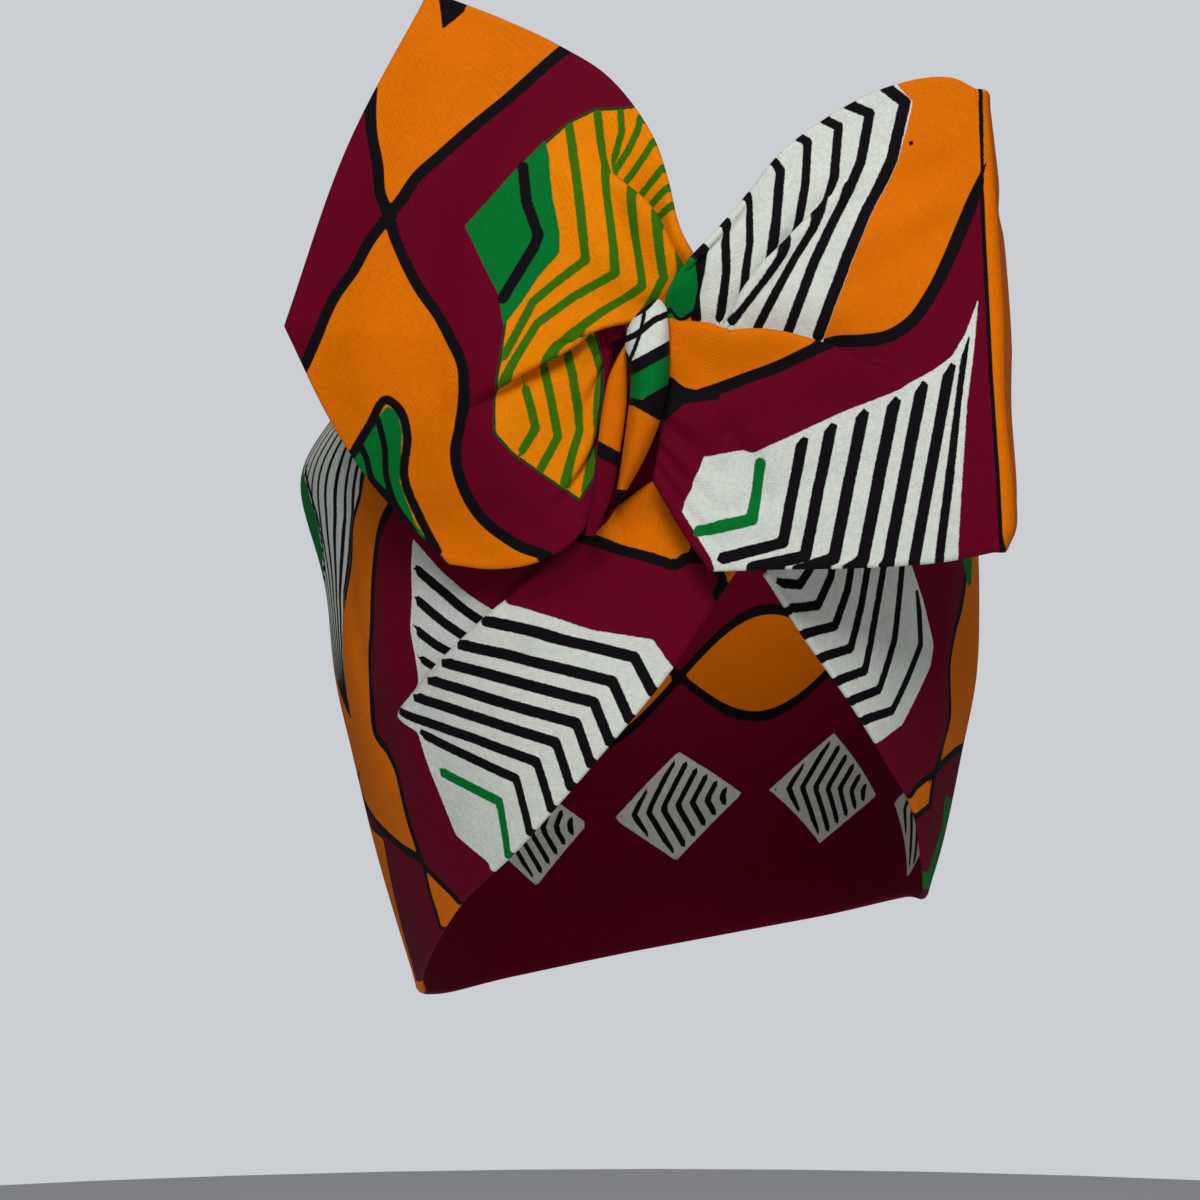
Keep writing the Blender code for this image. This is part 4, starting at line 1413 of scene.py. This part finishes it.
def make_weave():
    """Over and under: the height is the product of two sines, one for each set of threads, plus slubs.

    A fine noise lets the threads wander, as spun cotton does.
    """
    group, given, made = new_group(
        "plain weave",
        [("Pitch", "Float", THREAD_PITCH), ("Depth", "Float", WEAVE_DEPTH)],
        [("Height", "Float"), ("Normal", "Vector")],
    )
    place = group.nodes.new("ShaderNodeTexCoord").outputs["Object"]
    wander = calculate(group, "MULTIPLY", noise(group, place, WANDER_PER_METRE, SOFT_DETAIL), WANDER)
    sines = []
    for name in ("warp", "weft"):
        turns = calculate(group, "DIVIDE", attribute(group, name), given["Pitch"])
        turns = calculate(group, "ADD", turns, wander)
        sines.append(calculate(group, "SINE", calculate(group, "MULTIPLY", turns, np.pi)))
    threads = calculate(group, "MULTIPLY", sines[0], sines[1])
    slub = calculate(group, "MULTIPLY", noise(group, place, SLUB_PER_METRE, SOFT_DETAIL), SLUB_HEIGHT)
    height = calculate(group, "ADD", threads, slub)
    wire(group, height, made["Height"])
    bump_node = group.nodes.new("ShaderNodeBump")
    bump_node.inputs["Distance"].default_value = THREAD_HEIGHT
    wire(group, given["Depth"], bump_node.inputs["Strength"])
    wire(group, height, bump_node.inputs["Height"])
    wire(group, bump_node.outputs["Normal"], made["Normal"])
    return group


wax_print = make_wax_print()
mottling = make_mottling()
weave = make_weave()


# %% The material of a piece
WEAVE_TONE = 0.04
GRAIN = 0.22
BLOOM_OF_WHITE = 0.16
ROUGHER_THREADS = 0.04
SPECULAR = 0.05
SHEEN = 0.006
SHEEN_ROUGHNESS = 0.45
WING_ROUGHNESS = 0.66
BAND_ROUGHNESS = 0.68


def printed_cotton(name, roughness):
    """Printed cotton: the print times the mottling, a low sheen, and the weave as bump."""
    made = bpy.data.materials.new(name)
    made.use_nodes = True
    tree = made.node_tree
    surface = tree.nodes["Principled BSDF"]
    colour = group_node(tree, wax_print)
    bloom = calculate(tree, "ADD", calculate(tree, "MULTIPLY", colour.outputs["Pale"], BLOOM_OF_WHITE), GRAIN)
    brightness = group_node(tree, mottling, Grainy=bloom)
    threads = group_node(tree, weave)
    toned = tree.nodes.new("ShaderNodeVectorMath")
    toned.operation = "SCALE"
    wire(tree, colour.outputs["Color"], toned.inputs[0])
    wire(tree, toned.outputs[0], surface.inputs["Base Color"])
    tone = calculate(tree, "MULTIPLY", threads.outputs["Height"], WEAVE_TONE)
    plain = calculate(tree, "SUBTRACT", brightness.outputs["Brightness"], WEAVE_TONE)
    wire(tree, calculate(tree, "ADD", tone, plain), toned.inputs["Scale"])
    rough = calculate(tree, "MULTIPLY", threads.outputs["Height"], ROUGHER_THREADS)
    wire(tree, calculate(tree, "ADD", rough, roughness), surface.inputs["Roughness"])
    wire(tree, threads.outputs["Normal"], surface.inputs["Normal"])
    surface.inputs["Specular IOR Level"].default_value = SPECULAR
    surface.inputs["Sheen Weight"].default_value = SHEEN
    surface.inputs["Sheen Roughness"].default_value = SHEEN_ROUGHNESS
    return made


# %% The wings and the band
def lengths_of(grid):
    """How far each point is along both sets of threads: the sums of the steps along rows and columns."""
    step_along = np.linalg.norm(np.diff(grid, axis=1), axis=-1)
    step_across = np.linalg.norm(np.diff(grid, axis=0), axis=-1)
    warp = np.concatenate([np.zeros((len(grid), 1)), np.cumsum(step_along, axis=1)], axis=1)
    weft = np.concatenate([np.zeros((1, grid.shape[1])), np.cumsum(step_across, axis=0)])
    return {"warp": warp, "weft": weft}


def printed_sheet(node, grid, wall, layers, finish):
    """A walled grid with its print and its threads as attributes."""
    points, faces, source = walled(grid, hem_thickness(grid, wall, HEM_BEAD))
    values = {**layers, **lengths_of(grid)}
    values = {key: value.reshape(-1)[source] for key, value in values.items()}
    return add_cloth(node + "_cloth", node, points, faces, values, finish)


# For each wing the function that makes its grid, the grid's rows and columns, its charts and its panels.
WINGS = {
    "left": (left_wing_grid, (250, 190), LEFT_CHARTS, left_panels),
    "right": (right_wing_grid, (222, 180), RIGHT_CHARTS, right_panels),
}
BAND_GRID = (105, 450)


def make_wing(side):
    """The cloth of one wing, with the print of each of its panels."""
    grid_of, size, charts, panels_of = WINGS[side]
    grid, across, along = grid_of(*size)
    spots = seen_from_front(grid)
    layers = drawn_in_panels(charts, panels_of(across, along, spots), spots)
    finish = printed_cotton("printed cotton, " + side + " end", WING_ROUGHNESS)
    return printed_sheet(side + "_wing", grid, WING_WALL, layers, finish)


def make_head_band():
    """The cloth of the band, whose print passes smoothly into the chain of ovals behind both silhouettes."""
    grid, across, along = head_band_grid(*BAND_GRID)
    spots = unrolled(grid, along)
    arc, height = spots[..., 0], spots[..., 1]
    layers = drawn_in_panels(BAND_CHARTS, band_panels(across, along), spots)
    behind = smooth_step((abs(arc) - BACK_FROM) / BACK_BLEND)
    round_back = np.where(arc < 0, arc + 360 * ARC_PER_DEGREE, arc)
    for name, values in chain_of_ovals(round_back, height).items():
        share = behind if name in SIGNED else behind > 0.5
        layers[name] = layers[name] + share * (values - layers[name])
    finish = printed_cotton("printed cotton, band", BAND_ROUGHNESS)
    return printed_sheet("head_band", grid, BAND_WALL, layers, finish)


left_wing = make_wing("left")
right_wing = make_wing("right")
head_band = make_head_band()


# %% The knot and the side fold
WOUND_AROUND = 160
WOUND_HEIGHTS = 200
THREADS_PER_TURN = 0.3


def printed_wound(name, node, rows, chart):
    """A wound piece with its print as attributes. Its threads are counted round it and up it."""
    points, faces = wound(rows, WOUND_AROUND, WOUND_HEIGHTS)
    turn = np.repeat(np.arange(WOUND_AROUND), WOUND_HEIGHTS)
    values = {**draw(chart, seen_from_front(points)), "warp": turn * THREADS_PER_TURN, "weft": points[:, 2]}
    finish = printed_cotton("printed cotton, " + name, WING_ROUGHNESS)
    return add_cloth(name.replace(" ", "_") + "_cloth", node, points, faces, values, finish)


knot = printed_wound("knot", "knot", KNOT, KNOT_CHART)
side_fold = printed_wound("side fold", "knot_side_fold", SIDE_FOLD,
                          SIDE_FOLD_CHART)

# %% Where the camera stands
# The photograph is 1200 pixels wide and shows the head at 3.9 pixels a millimetre, 55 right of its middle.
PHOTO_PIXELS = 1200
PIXELS_PER_MM = 3.9
RIGHT_OF_MIDDLE = 55
SENSOR_WIDTH = 36
CAMERA_LENS = SENSOR_WIDTH * PIXELS_PER_MM * CAMERA_DISTANCE / MM / PHOTO_PIXELS
CAMERA_SHIFT = -RIGHT_OF_MIDDLE / PHOTO_PIXELS
camera_data = bpy.data.cameras.new("front_camera")
camera_data.sensor_width = SENSOR_WIDTH
camera_data.lens = CAMERA_LENS
camera_data.shift_x = CAMERA_SHIFT
camera = bpy.data.objects.new("front_camera", camera_data)
camera.location = (0, -CAMERA_DISTANCE, 0)
camera.rotation_euler = (np.pi / 2, 0, 0)
bpy.context.scene.collection.objects.link(camera)
bpy.context.scene.camera = camera

# %% [markdown]
# One strip of cloth
#
# The five pieces are one doubled strip, 17 cm wide. The knot and the side fold are turns of the left end.

# %% [markdown]
# The stage
#
# The photograph was taken against a pale wall in soft light from the front and above. A soft lamp above
# and behind the camera gives most of the light, a fill lamp and a top lamp open the shadows, and the
# surroundings add a little from all sides. The floor lies well below: only its far edge shows, at the
# foot of the front view.

# %% Surroundings, lamps and floor
BACKGROUND = display(203, 206, 210)
AMBIENT = 0.17
# Name, place, side of the square and power in watts.
LAMPS = [
    ("key", (-0.05, -1.5, 0.95), 0.6, 22.0),
    ("fill", (0.7, -1.5, -0.3), 1.2, 3.0),
    ("top", (0.1, 0.0, 1.5), 1.0, 4.5),
]
FLOOR_PALE = display(236, 238, 241)
FLOOR_RADIUS = 1.4
FLOOR_DROP = 0.27
FLOOR_CORNERS = 96
FLOOR_ROUGHNESS = 0.9


def make_surroundings():
    """A backdrop of full strength for the camera, which lights the cloth by the ambient share alone."""
    world = bpy.data.worlds.new("pale surroundings")
    world.use_nodes = True
    tree = world.node_tree
    backdrop = tree.nodes["Background"]
    backdrop.inputs["Color"].default_value = BACKGROUND
    seen = tree.nodes.new("ShaderNodeLightPath").outputs["Is Camera Ray"]
    wire(tree, calculate(tree, "ADD", calculate(tree, "MULTIPLY", seen, 1 - AMBIENT), AMBIENT),
         backdrop.inputs["Strength"])
    bpy.context.scene.world = world


def make_lamps():
    """Square soft lamps that look at the head's middle."""
    for name, place, size, power in LAMPS:
        data = bpy.data.lights.new(name, "AREA")
        data.size = size
        data.energy = power
        lamp = bpy.data.objects.new(name, data)
        lamp.location = place
        aim = -np.array(place)
        lamp.rotation_euler = (np.arctan2(np.hypot(aim[0], aim[1]), -aim[2]), 0, np.arctan2(-aim[0], aim[1]))
        bpy.context.scene.collection.objects.link(lamp)


def make_floor():
    """A pale disc well below the cloth."""
    turn = np.linspace(0, 2 * np.pi, FLOOR_CORNERS, endpoint=False)
    level = np.full(FLOOR_CORNERS, cad_box[0][2] - FLOOR_DROP)
    rim = np.stack([FLOOR_RADIUS * np.cos(turn), FLOOR_RADIUS * np.sin(turn), level], axis=1)
    mesh = bpy.data.meshes.new("floor")
    mesh.from_pydata(rim.tolist(), [], [list(range(FLOOR_CORNERS))])
    pale = bpy.data.materials.new("pale floor")
    pale.use_nodes = True
    surface = pale.node_tree.nodes["Principled BSDF"]
    surface.inputs["Base Color"].default_value = FLOOR_PALE
    surface.inputs["Roughness"].default_value = FLOOR_ROUGHNESS
    mesh.materials.append(pale)
    floor = bpy.data.objects.new("floor", mesh)
    bpy.context.scene.collection.objects.link(floor)


make_surroundings()
make_lamps()
make_floor()
bpy.context.scene.view_settings.view_transform = "Standard"
